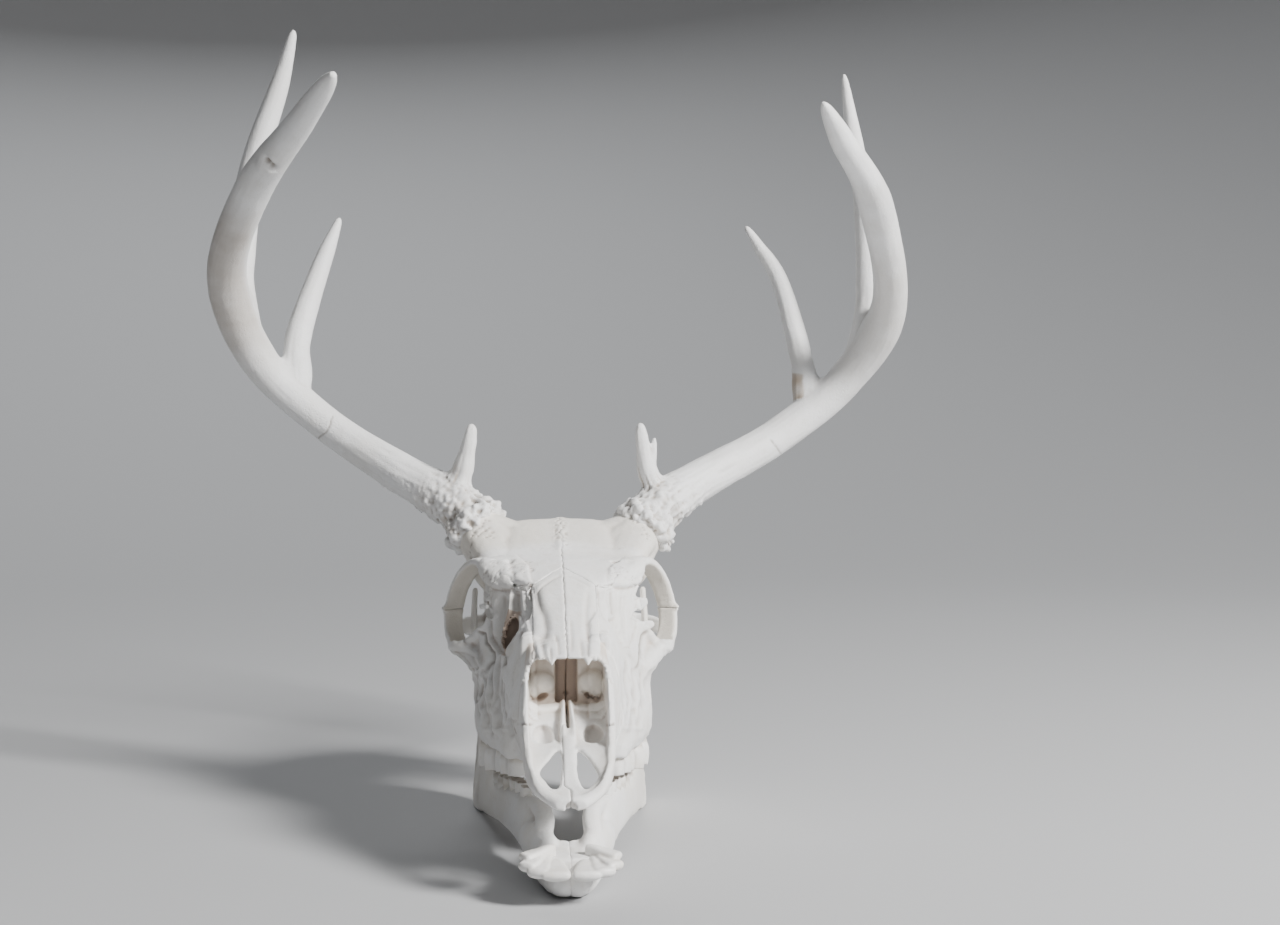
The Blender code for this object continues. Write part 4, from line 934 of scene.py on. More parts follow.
class Relief:
    """Moves the points of a fused piece in and out along its surface, and tints it."""

    def __init__(self, obj):
        self.obj = obj
        self.points = array_of(obj.data, "vertices", "co", 3).astype(float)
        self.normals = array_of(obj.data, "vertex_normals", "vector", 3).astype(float)
        self.lift = np.zeros(len(self.points))
        self.tints = {}
        self.seen = on_sheet(self.points)
        sight = unit(self.points - EYE)
        self.facing = soft_step(-(sight * self.normals).sum(axis=1), 0.02, 0.3)
        self.sway = np.stack([grain(self.points, 5, 31), grain(self.points, 5, 32)], axis=1)

    def near(self, low, high, pad):
        """The points within pad of a box."""
        low, high = np.array(low) - pad, np.array(high) + pad
        return np.flatnonzero(((self.points > low) & (self.points < high)).all(axis=1))

    def mark_points(self, path, wide, front, back):
        """The points that face forward and lie near a mark drawn on the sheet."""
        path = np.array(path, float)
        low, high = path.min(axis=0) - wide * FELT, path.max(axis=0) + wide * FELT
        here = ((self.seen > low) & (self.seen < high)).all(axis=1)
        here &= (self.points[:, 1] > front) & (self.points[:, 1] < back) & (self.facing > 0)
        return np.flatnonzero(here)

    def mark(self, path, wide, deep, front, back, crooked=0.0, tint=None):
        """A groove (deep above 0) or a rib (below 0) drawn on the sheet before the face."""
        chosen = self.mark_points(path, wide, front, back)
        if not len(chosen):
            return
        off, along = distance_to_path(self.seen[chosen] + crooked * self.sway[chosen], path)
        ends = soft_step(along, -0.02, 0.12) * soft_step(1 - along, -0.02, 0.12)
        strength = np.exp(-(off / wide) ** 2) * (0.35 + 0.65 * ends) * self.facing[chosen]
        self.lift[chosen] -= deep * strength
        if tint:
            self.tint(tint, strength, chosen)

    def patch(self, outline, rise, edge, front, back, rough=0.0, tint=None):
        """A raised or sunken area with an outline drawn on the sheet before the face."""
        chosen = self.mark_points(outline, edge, front, back)
        if not len(chosen):
            return
        depth = inside_outline(self.seen[chosen] + 0.4 * self.sway[chosen], outline)
        strength = soft_step(depth, -edge / 2, edge / 2) * self.facing[chosen]
        self.lift[chosen] += strength * rise
        if rough:
            self.lift[chosen] += strength * rough * layered_grain(self.points[chosen], 2.6, 43)
        if tint:
            self.tint(tint, strength, chosen)

    def crease(self, path, wide, deep, crooked=0.0, tint=None):
        """A groove or rib along a line through space."""
        path = np.array(path, float)
        chosen = self.near(path.min(axis=0), path.max(axis=0), wide * FELT + crooked)
        if not len(chosen):
            return
        places = self.points[chosen]
        if crooked:
            places = places + crooked * np.stack(
                [grain(places, 4, 51), grain(places, 4, 52), grain(places, 4, 53)], axis=1)
        off, _ = distance_to_path(places, path)
        strength = np.exp(-(off / wide) ** 2)
        self.lift[chosen] -= deep * strength
        if tint:
            self.tint(tint, strength, chosen)

    def pores(self, low, high, count, radius, deep, seed):
        """Small pits scattered over the surface inside a box."""
        chosen = self.near(low, high, 0)
        if not len(chosen):
            return
        random = np.random.default_rng(seed)
        for centre in self.points[random.choice(chosen, count)]:
            size = radius * random.uniform(0.6, 1.3)
            hit = self.near(centre, centre, size * 2.2)
            off = np.linalg.norm(self.points[hit] - centre, axis=1)
            strength = np.exp(-(off / size) ** 2)
            self.lift[hit] -= deep * strength
            self.tint("dusk", strength, hit)

    def soften(self, weight, steps):
        """Evens out the surface where weight is near 1."""
        here = np.flatnonzero(weight > 0.02)
        a, b = array_of(self.obj.data, "edges", "vertices", 2, np.int32).T
        kept = (weight[a] > 0) & (weight[b] > 0)
        a, b = a[kept], b[kept]
        for _ in range(steps):
            mean = neighbours_mean(self.points, a, b)
            self.points[here] += (mean[here] - self.points[here]) * weight[here, None] * 0.6

    def tint(self, name, strength, chosen=slice(None)):
        """Tints the chosen points, or all of them, where they have less of the tint as yet."""
        if name == "dusk":
            name, strength = "shade", strength * DUSK
        values = self.tints.setdefault(name, np.zeros(len(self.points)))
        values[chosen] = np.maximum(values[chosen], np.clip(strength, 0, 1))

    def finish(self):
        """Writes the moved points, the tints, and how far each point lies in a crevice, which is
        painted as shade.
        """
        self.points += self.normals * self.lift[:, None]
        mesh = self.obj.data
        mesh.vertices.foreach_set("co", self.points.astype(np.float32).ravel())
        mesh.update()
        normals = array_of(mesh, "vertex_normals", "vector", 3).astype(float)
        a, b = array_of(mesh, "edges", "vertices", 2, np.int32).T
        smooth = self.points.copy()
        hollow = np.zeros(len(self.points))
        for count in range(1, max(CREVICES) + 1):
            smooth = neighbours_mean(smooth, a, b)
            if count in CREVICES:
                away = ((smooth - self.points) * normals).sum(axis=1)
                hollow += np.clip(away / CREVICES[count], 0, 1)
        # the crevice measure becomes painted shade
        self.tints["hollow"] = np.clip(hollow * 0.6, 0, 1)
        for name in TINTS:
            layer = mesh.attributes.new(name, "FLOAT", "POINT")
            layer.data.foreach_set("value", self.tints.get(
                name, np.zeros(len(self.points))).astype(np.float32))


# Raised (above 0) or sunken plates on the face, drawn on the sheet: outline, rise, width of the
# edge, how far forward and back they reach, and then roughness and tint.
PLATES = (
    # nasal processes of the fore jaw bones, lying on the upper jaw
    (((-16.4, 59.4), (-18, 58.8), (-20.8, 55.6), (-23.8, 50), (-27.6, 44), (-29.2, 36),
      (-28.2, 30), (-26, 22), (-24, 12), (-12.5, 12), (-13.4, 42), (-15.4, 54)), 1.0, 1.0, 62, 140),
    (((15.4, 63.6), (20.4, 58), (24, 51.5), (26.8, 44.5), (27, 36), (25.5, 24), (24, 12),
      (12.5, 12), (12.5, 46), (12.6, 58)), 1.1, 1.0, 62, 140),
    # the frontals' front edge: a raised flap, with the tear bones sunk under it
    (((-42, 84), (-38.4, 80), (-35.4, 76.6), (-31, 75.4), (-26.4, 76), (-23.4, 78),
      (-18.2, 77.6), (-15.4, 78.6), (-17, 86), (-24, 92), (-36, 92)), 1.2, 1.6, 130, 172, 0.35),
    (((-37.4, 79), (-34.8, 76), (-31, 74.8), (-26.4, 75.4), (-23.4, 77.2), (-15.2, 77.8),
      (-15, 66), (-18.6, 56), (-27.4, 44), (-31, 44), (-35, 52), (-36, 64), (-36, 74)),
     -1.8, 1.0, 100, 172),
    (((40, 82), (35.4, 76.2), (31, 75.8), (26.4, 76.4), (21.6, 77.4), (22, 84), (30, 90),
      (38, 90)), 1.0, 1.6, 130, 172, 0.25),
    (((36.4, 77), (31, 75.2), (26.4, 75.8), (16.6, 77), (16.8, 68), (21.6, 57), (29.4, 46),
      (33, 46), (36, 56), (36.4, 68)), -1.4, 1.2, 100, 172),
    # the left tear bone's slit, and the hollow under the right cheek's crest, with a light painted
    # shade in it
    (((23.6, 60.5), (25.4, 57.5), (29.6, 47.7), (30.6, 49.5), (28.6, 57.6), (26.2, 61.8)),
     -1.9, 1.8, 100, 160),
    (((-53.3, 44.9), (-47, 45.4), (-42.4, 44), (-41, 37), (-43.8, 34), (-50, 38)),
     -1.6, 2.0, 130, 180, 0.0, "dusk"),
)

# Grooves (depth above 0) and ribs on the face, drawn on the sheet. For each reach forward and
# back: the path of each, its width and depth, and then how crooked it is and its tint.
MARKS = {
    # a step in the rim of the nose where the fore jaw bones end
    (36, 66): (
        (((-22.5, 9.7), (-15, 9.7)), 0.6, 0.7, 0, "shade"),
        (((21, 8.8), (28, 10)), 0.6, 0.7, 0, "shade"),
    ),
    # valleys and side plates of the tear bones
    (100, 172): (
        (((-29.4, 73.5), (-30.2, 64), (-31, 54), (-30.6, 46)), 2.0, 1.5, 0, "dusk"),
        (((-34.4, 72), (-34, 62), (-33.6, 52)), 1.6, -0.7),
        (((29.6, 72.6), (30.2, 62), (30.6, 52)), 1.8, 0.9),
    ),
    (100, 160): (
        # right: the sharp edge of the gap, and the plates inside it
        (((-25.6, 74.8), (-26, 65), (-28.4, 58), (-29.6, 50.6), (-28.4, 45)), 0.9, -1.8),
        (((-22.8, 74), (-23, 67), (-23.4, 64.6)), 1.3, 1.1, 0, "dusk"),
        (((-20.2, 75.4), (-20, 69), (-19.4, 63.6)), 0.9, -1.0),
        (((-16.4, 76), (-16, 70), (-16.6, 64), (-18.2, 60)), 1.2, 1.7, 0, "dusk"),
        (((-18.9, 61.4), (-19.2, 56), (-21.4, 51.6)), 1.0, -1.3),
        # left
        (((17.8, 75.6), (17.8, 70), (18.6, 64.4), (21.6, 59)), 1.1, 1.0, 0.3, "dusk"),
        (((20.8, 75.2), (20.8, 69), (22.4, 62)), 0.9, -0.9),
        (((23.8, 74.4), (24.4, 68), (25.2, 62.6)), 0.9, 0.9, 0, "dusk"),
        (((27.2, 73), (27.4, 64), (29.2, 56)), 0.9, -0.9),
    ),
    (90, 150): (
        (((-28.6, 46), (-26.6, 41.4), (-27.8, 37.4)), 0.9, 1.6, 0.4, "shade"),
        (((-23.6, 49.4), (-25.4, 45), (-26.6, 40)), 0.8, -1.0, 0.4),
    ),
    # the dents and slits along each nasal bone
    (60, 150): (
        (((-13.6, 76), (-12.2, 68), (-9.6, 62), (-8.6, 56), (-10, 50)), 2.4, 1.7, 0, "dusk"),
        (((12.4, 74), (11.4, 65), (11.4, 56), (12.6, 49)), 1.6, 0.9),
    ),
    (56, 150): ((((-11, 50), (-9.4, 44), (-9, 40)), 1.4, 0.9),),
    (56, 120): (
        (((-3.9, 52.5), (-2.3, 47.7), (-1.9, 42.9)), 0.6, 0.6),
        (((-6.4, 46.4), (-6, 42), (-5.8, 39.4)), 0.6, 0.7),
        (((3.6, 60), (4.2, 52), (3.8, 44)), 0.7, 0.5),
        (((8.2, 50), (9, 44), (9.4, 41)), 0.8, 0.5),
    ),
    # long wavy ridges down the upper jaw, and the ribs between them
    (66, 168): tuple((path, wide, 0.85 * deep, 1.0, "dusk") for path, wide, deep in (
        (((-32.7, 45), (-33.5, 37.5), (-34.4, 31.9), (-33.9, 22)), 1.2, 1.7),
        (((-30.3, 42), (-31.1, 33.5), (-31.9, 24), (-31.5, 16), (-30.4, 7)), 1.0, 1.5),
        (((-41.4, 36.8), (-41.4, 31), (-41.9, 22), (-40.6, 12)), 1.3, 1.3),
        (((-37.3, 35), (-38.3, 27.9), (-38, 19), (-36.2, 9)), 1.1, 1.4),
        (((-29.1, 33), (-29.6, 26), (-29.4, 19), (-27.6, 12)), 1.0, 1.3),
        (((-35.6, 22), (-35, 14), (-33.6, 4)), 1.1, 1.3),
        (((-25.4, 13), (-25, 8), (-24.4, 4)), 1.1, 1.2),
        (((32.5, 44), (33.5, 36), (34.4, 28), (33.6, 18)), 1.2, 1.4),
        (((29.4, 42), (30, 32), (31, 24), (30.6, 12)), 1.0, 1.3),
        (((36.8, 36), (37.8, 28), (37.6, 18), (36, 8)), 1.1, 1.3),
        (((28, 36), (28.4, 28), (28, 18), (27, 8)), 1.0, 1.1),
        (((34, 18), (33.4, 10), (32, 4)), 1.1, 1.2),
    )) + tuple((path, 1.1, -0.9, 1.3) for path in (
        ((-31.8, 44), (-32.4, 34), (-33, 22)), ((-36, 34), (-36.4, 26), (-35.2, 14)),
        ((-39.6, 36), (-40, 27), (-38.6, 14)), ((-33.4, 18), (-32.6, 10), (-31.6, 5)),
        ((31.4, 42), (32.4, 30), (32.2, 18)), ((35.8, 36), (36.4, 24), (35, 12)),
        ((29.4, 22), (29, 14), (29, 6)),
    )),
    # crests of the cheeks, and the crooked seams over them
    (140, 185): (
        (((-54.1, 46.5), (-49.3, 48.1), (-45.4, 50.4), (-41.4, 52)), 1.3, -0.8),
        (((41.2, 54.4), (43.5, 50.4), (47.5, 47), (53.2, 45)), 1.3, -0.8),
    ),
    (120, 175): (
        (((-41.1, 54.9), (-37.9, 53.3), (-36.3, 49.2), (-33.1, 45.2), (-33.9, 41),
          (-37.2, 35.6)), 0.7, 1.0, 0.8, "shade"),
        (((40.8, 55), (38.4, 52), (36.8, 47), (37.4, 41), (34.8, 36)), 0.7, 0.8, 0.8, "shade"),
    ),
    # sockets' edge over the cheek teeth
    (78, 130): (
        (((-39.8, 6.8), (-30, 7.4), (-22, 6.6)), 0.9, -0.6, 0.6),
        (((24, 6.6), (31, 7.4), (39, 6.8)), 0.9, -0.6, 0.6),
    ),
    # light thumb marks left by growth over the bridge
    (115, 160): ((((-13.5, 73.6), (-9.5, 76.6), (-4.4, 79.8), (-0.4, 81.4)), 0.6, 0.6),),
    (120, 160): ((((13.8, 75.4), (6, 79.6), (0.8, 81.4)), 0.6, 0.4),),
}


def front_marks(relief):
    for plate in PLATES:
        relief.patch(*plate)
    for (front, back), marks in MARKS.items():
        for path, wide, deep, *more in marks:
            relief.mark(path, wide, deep, front, back, *more)


# Creases (depth above 0) and welts: path, width, depth, and then how crooked it is and its tint.
ROOF_CREASES = (
    (((0.1, 178, 91.6), (0.2, 196, 98.6), (0.2, 216, 103)), 2.8, -1.0),
    # small round holes for vessels
    *(((hole, hole), 0.8, 0.9, 0, "shade") for hole in (
        (-28.4, 188.2, 92.5), (-28.4, 183.4, 90.4), (29.1, 186.8, 91.9), (28.9, 181.3, 89.8))),
    (((-24.9, 156, 84.6), (-24.5, 152, 83), (-24, 146.7, 80.9)), 1.3, 0.8),
    (((26, 162, 86), (31, 167, 87), (37, 172, 88)), 1.1, 0.8),
    # the step where the raised rear of the roof starts
    (((-36, 184, 89), (-20, 181, 91), (0, 179.5, 92), (20, 181, 91), (36, 184, 89)), 2.2, 0.25),
)
# Pores: the corners of a box, how many, their radius and depth, and a number to scatter them by.
ROOF_PORES = (
    ((-2.8, 181, 88), (2.8, 214, 110), 70, 0.6, 0.9, 61),
    ((-38, 141, 70), (-14, 162, 92), 90, 0.55, 0.5, 71),
    ((22, 141, 70), (36, 154, 92), 40, 0.5, 0.4, 72),
    ((-46, 190, 80), (-34, 214, 104), 60, 0.7, 0.7, 73),
    ((35, 190, 80), (46, 214, 104), 30, 0.6, 0.5, 74),
)
# On each side of the braincase: the welt where the chewing muscle ends, and the seams.
CASE_CREASES = (
    (((34, 226, 86), (30, 240, 88), (25, 254, 82), (22, 266, 70)), 1.4, -0.5, 0.6),
    (((36, 222, 66), (38.5, 236, 62), (38, 250, 58)), 0.6, 0.5, 1.2, "shade"),
    (((12, 277, 56), (20, 274, 50), (25, 268, 40)), 0.7, 0.4, 0.8, "shade"),
    (((52.5, 196, 47), (54, 206, 43.5), (53, 214, 43)), 0.6, 0.5, 0.8, "shade"),
)
NAPE_CREASES = (
    (((-34, 256, 74), (-20, 259, 80), (0, 262, 82), (20, 259, 80), (34, 256, 74)), 1.7, 0.5, 1.8,
     "dusk"),
    (((0, 229, 98), (0.2, 245, 92), (0, 262, 82)), 0.9, 0.35, 1.0, "dusk"),
    (((0, 276, 66), (0, 281, 59)), 1.8, -0.6),
)
NAPE_PORES = (-30, 262, 44), (30, 284, 72), 90, 0.6, 0.25, 81


def roof_marks(relief):
    """The pitted seam, pores, holes and furrows on the roof."""
    for crease in ROOF_CREASES:
        relief.crease(*crease)
    for pores in ROOF_PORES:
        relief.pores(*pores)


def case_marks(relief):
    """Seams, muscle lines and roughness on the braincase and the back of the head."""
    for side in (-1, 1):
        for path, *rest in CASE_CREASES:
            relief.crease(mirrored(path, side), *rest)
    for crease in NAPE_CREASES:
        relief.crease(*crease)
    relief.pores(*NAPE_PORES)


def tone_and_painted_shade(relief):
    """Cream and tan tints: painted shade inside the nose, in the gap before the right eye and on
    the raised rear of the roof; cream on the bars behind the eyes and tan inside the braincase.
    """
    p = relief.points
    x, y, z = p.T
    off = np.abs(x)
    in_nose = ((off < NOSE_HALF_WIDTH(y) + 0.7) & (y > 52) & (y < NOSE_END_Y + 2)
               & (z < NOSE_CEILING_Z(y) + 1) & (z > NOSE_FLOOR_Z(y) - 1))
    middle = np.exp(-(x / 5.6) ** 6)
    in_holes = soft_step(y, 76, 79) * soft_step(34 - z, 0, 2)
    # inside the nose: painted shade in tan and cream, stronger toward the back, in the holes of the
    # scrolls and under the roof of the nasals
    relief.tint("tan", soft_step(y, 66, 92) * in_nose
                * np.maximum(0.12 + 0.75 * middle, 0.8 * in_holes) * soft_step(z, 24, 30))
    relief.tint("tan", 0.4 * in_nose * soft_step(z, 42, 49) * soft_step(y, 60, 76))
    relief.tint("cream", 0.7 * in_nose * soft_step(y, 60, 80))
    # the gap before the right eye, and the channel under the keel: painted shade in tan, stronger
    # farther in
    seen_x, seen_z = relief.seen.T
    pit = ((seen_x > -30) & (seen_x < -19) & (seen_z > 43) & (seen_z < 65)
           & (y > 104) & (y < 136) & (x < 0))
    relief.tint("tan", 0.9 * pit * soft_step(y - (96 + 0.62 * (z - 30)), 4, 9))
    relief.tint("tan", 0.8 * in_nose * np.exp(-x ** 2) * soft_step(y, 48, 60))
    # the raised rear of the roof, painted cream as shade where it tilts away from the light, and
    # the inner faces of the bars behind the eyes, tinted cream
    relief.tint("cream", soft_step(y + 0.12 * off, 181, 189) * soft_step(z, 78, 88)
                * (0.75 + 0.25 * grain(p, 14, 91)))
    flip = np.stack([np.sign(x), np.ones(len(x)), np.ones(len(x))], axis=1)
    toward_eye = (relief.normals * flip * unit(ORBIT_CENTRE - p * flip)).sum(axis=1)
    relief.tint("cream", ((off > 38) & (y > 165) & (y < 200) & (z < 88) & (z > 36))
                * soft_step(toward_eye, 0.1, 0.7))
    # inside the braincase
    relief.tint("tan", 0.5 * soft_step(y, 196, 203) * soft_step(280 - y, 0, 10)
                * ((z < 62) & (off < 12)))


def dress_bone(obj, name):
    """Gives one parted bone its fine grid, its relief and its tints."""
    if name.startswith("nasal"):
        obj = joined(obj.name, [obj, nasal_prong(1 if name == "nasal_left" else -1)])
    fuse(obj, CASE_GRID if name == "braincase" else BONE_GRID, 1)
    relief = Relief(obj)
    p = relief.points
    relief.lift += 0.2 * layered_grain(p, 9, 1) + 0.07 * grain(p, 2.4, 4)
    if name.startswith(("maxilla", "premaxilla")):
        fibre = 1 - 2 * np.abs(grain(p * (1, 0.16, 0.3) + (0, 0, 0.12 * p[:, 1:2].mean()), 1.7, 9))
        relief.lift += 0.2 * fibre * soft_step(np.abs(p[:, 0]), 14, 19)
    front_marks(relief)
    if name.startswith("frontal"):
        roof_marks(relief)
    if name == "braincase" or name.startswith("zygomatic"):
        case_marks(relief)
    tone_and_painted_shade(relief)
    relief.finish()
    return obj


# ---------------- cheek teeth

# Rings of a cheek tooth from its root to its chewing face: share of the way down, size, how far
# it sinks back into the face, and how much of the cusps it has.
TOOTH_RINGS = (
    (0, 0.74, 0, 0), (0.3, 0.78, 0, 0), (0.4, 0.88, 0, 0), (0.52, 0.99, 0, 0), (0.7, 1.0, 0, 0),
    (0.86, 0.97, 0, 0.3), (0.96, 0.93, 0, 0.8), (1, 0.86, 0, 1.0), (1, 0.7, 1.5, 0.6),
    (1, 0.5, 1.7, 0.2), (1, 0.36, 0.9, 0.5), (1, 0.2, 1.6, 0.2), (1, 0.05, 1.7, 0),
)
TOOTH_SIDES = 56


def cheek_tooth(centre, half_wide, half_long, lobes, root_z, edge_z, side):
    """One grinding tooth: rounded lobes, and a sunken chewing face with a ridge in it."""
    turn = 2 * np.pi * np.arange(TOOTH_SIDES) / TOOTH_SIDES
    u, v = (np.sign(w) * np.abs(w) ** 0.62 for w in (np.cos(turn), np.sin(turn)))
    bulge = 0.86 - 0.14 * np.cos(np.pi * lobes * (u + 1))
    inner = 0.8 + 0.2 * np.abs(np.sin(np.pi * lobes * (u + 1) / 2))
    v = np.where(v > 0, v * bulge, v * inner)
    cusp = -np.cos(np.pi * lobes * (u + 1)) * np.clip(np.abs(v), 0.2, 1)
    down = np.sign(edge_z - root_z)
    rings = []
    for share, grow, sink, rise in TOOTH_RINGS:
        z = root_z + (edge_z - root_z) * share - down * sink
        rings.append(np.stack([
            centre[0] + side * v * half_wide * grow,
            centre[1] + u * half_long * grow ** 0.4 * (0.2 + 0.8 * grow),
            z + down * 0.45 * rise * cusp], axis=1))
    return sleeve("tooth", rings)


def tooth_row(name, teeth, centre_x, root, edge, side, lobes_of):
    made = []
    for tooth in teeth:
        y, long, wide, _ = tooth
        centre = (side * centre_x(tooth), y)
        made.append(cheek_tooth(centre, wide / 2, long / 2 - 0.3, lobes_of(y), root(tooth),
                                edge(tooth), side))
    row = joined(name, made)
    subdivide = row.modifiers.new("finer", "SUBSURF")
    subdivide.levels = subdivide.render_levels = 1
    apply_modifiers(row)
    return row


def dress_teeth(row, teeth, gum_z, edge_z):
    """Fine upright grain on the crowns, a cream neck with painted shade where it meets the bone,
    and painted shade in the gaps between the teeth.
    """
    relief = Relief(row)
    p = relief.points
    # painted shade in the gap behind each tooth
    for y, long, *_ in teeth:
        relief.tint("shade", 0.75 * np.exp(-((p[:, 1] - y - long / 2) / 0.9) ** 2))
    relief.lift += 0.08 * grain(p * (1, 1, 0.3), 1.4, 2) + 0.1 * grain(p, 4, 3)
    chewing = soft_step((p[:, 2] - gum_z) / (edge_z - gum_z), 0.62, 0.9)
    relief.tint("tan", 0.35 * chewing * (np.abs(relief.normals[:, 2]) > 0.5))
    neck = np.exp(-((p[:, 2] - gum_z) / 1.4) ** 2)
    relief.tint("cream", 0.6 * neck)
    # painted shade at the neck, where the crown goes into the bone
    relief.tint("shade", 0.35 * neck)
    relief.finish()


# ---------------- lower jaw

JAW_X = line((14, 6), (30, 7.5), (45, 10.5), (60, 14), (80, 18.2), (100, 22), (120, 25.8),
             (140, 29.2), (160, 32.5), (180, 36), (200, 39.3), (215, 41.3))
JAW_TOP_Z = line((14, -27), (30, -26), (45, -25.5), (60, -20.5), (76, -13), (90, -12.5),
                 (110, -14.5), (133, -17.5), (156, -18), (172, -12), (190, -4), (215, 2))
JAW_LOW_Z = line((14, -38), (22, -43.4), (34, -43), (55, -39.8), (80, -36), (100, -34.4),
                 (120, -34.8), (140, -36.6), (160, -39.2), (180, -41.6), (200, -43.3), (215, -44))
JAW_HALF_THICK = line((14, 4), (24, 4.6), (34, 6.2), (45, 5), (60, 4.2), (80, 4.6), (110, 5.4),
                      (150, 5.4), (175, 3.8), (200, 2.4), (215, 2.2))
FLOOR_Z = MIDDLE[2]
CHIN_LAP = 0.1  # how far each half reaches past the middle at the chin
JAW_PITS = (
    ("chin_hole", (15, 46, -33.5), (5, 3.6, 2), 0, "Z"),
    ("inner_hole", (35.5, 203, -10), (3.2, 4, 3), 0, "Z"),
    ("notch", (42.5, 231, 48), (6, 5.5, 8), 0, "Z"),
)

# Front teeth of one half: place of the biting edge, width there, and turn from straight ahead.
FRONT_TEETH = (((6.6, -3.4, -30.4), 12.4, 3), ((14.6, -1.2, -29.6), 9.5, 20),
               ((19.4, 3.2, -27.8), 8.5, 36), ((20.4, 9.0, -25.2), 7.5, 58))


def jaw_body(side):
    """One half of the lower jaw from the chin to the angle."""
    rings = []
    for y in np.linspace(14, 215, 120):
        low, high = JAW_LOW_Z(y), JAW_TOP_Z(y)
        lean = 0.06 * (high - low) / 2
        rings.append(oval(mirrored((JAW_X(y), y, (low + high) / 2), side),
                          (JAW_HALF_THICK(y), 0, 0), (-lean * side, 0, (high - low) / 2), 28,
                          2.8))
    return sleeve("jaw_body", rings)


def jaw_branch(side):
    """The upright branch with the angle, the hooked process and the hinge knob."""
    sheet = np.array([(212, -41.5, 13, 2.4, 41.4), (215, -36, 17, 2.6, 41.2),
                      (213, -20, 22, 2.2, 39.8), (213, 0, 21, 2.0, 39.4),
                      (218, 16, 17, 2.0, 41), (224, 28, 13, 2.2, 42.5)])
    shape = [line(*zip(sheet[:, 1], sheet[:, k])) for k in (0, 2, 3, 4)]
    rings = []
    for z in np.linspace(-41.5, 28, 46):
        y, long, thick, x = (f(z) for f in shape)
        rings.append(oval(mirrored((x, y, z), side), (thick, 0, 0), (0, long, 0), 40, 2.6))
    rim = mirrored([(39.5, 196, -41.5), (42, 213, -42.9), (42.5, 227, -38), (41.2, 234, -24),
                    (40, 234, -4), (41, 235, 18), (42, 238, 30)], side)
    hook = mirrored([(43, 216, 20), (43.8, 216, 38), (44, 221, 54), (43.5, 229, 66)], side)
    return [
        sleeve("branch", rings),
        bar("branch_rim", rim, (1, 0, 0), line((0, 2.4), (0.35, 2.8), (1, 3)),
            line((0, 2.4), (0.35, 2.4), (1, 3.4)), 60),
        bar("hook", hook, (0, 1, 0.2), line((0, 9), (0.5, 5.5), (1, 2.6)),
            line((0, 1.9), (1, 1.5)), 40),
        ball("knob", mirrored((42, 238, 33.5), side), (11, 5.5, 5)),
    ]


def front_teeth(side):
    """The four broad cutting teeth of one half, each a leaf that narrows to its root."""
    made = []
    for edge, wide, turn in FRONT_TEETH:
        tip = mirrored(edge, side)
        angle = math.radians(turn) * side
        ahead = unit(np.array((math.sin(angle), -math.cos(angle), -0.06)))
        across = np.array((math.cos(angle), math.sin(angle), 0))
        over = np.cross(across, ahead)
        above = over * np.sign(over[2])
        half_wide = line((-0.35, 0.12), (0, 0.33), (0.5, 0.45), (1.5, 0.5), (3.5, 0.5), (8, 0.42),
                         (16, 0.24))
        half_thick = line((-0.35, 0.5), (0, 1.2), (1.2, 2.4), (3.5, 3.1), (8, 3.4), (16, 3.2))
        rings = []
        for back in (-0.35, -0.1, 0.3, 0.8, 1.4, 2.2, 3.2, 4.5, 6, 8, 10, 13, 16):
            ring = oval(tip - ahead * back, across * wide * half_wide(back),
                        over * half_thick(back), 44, 2.3)
            # hollow the tongue side of the leaf
            from_middle = ring - (tip - ahead * back)
            sideways = from_middle @ across / (wide * half_wide(back))
            scoop = 1.1 * soft_step(back, 0, 3) * soft_step(12 - back, 0, 5)
            dip = np.where(from_middle @ above > 0, scoop * np.clip(1 - sideways ** 2, 0, 1), 0)
            rings.append(ring - dip[:, None] * above)
        made.append(sleeve("front_tooth", rings))
    return made


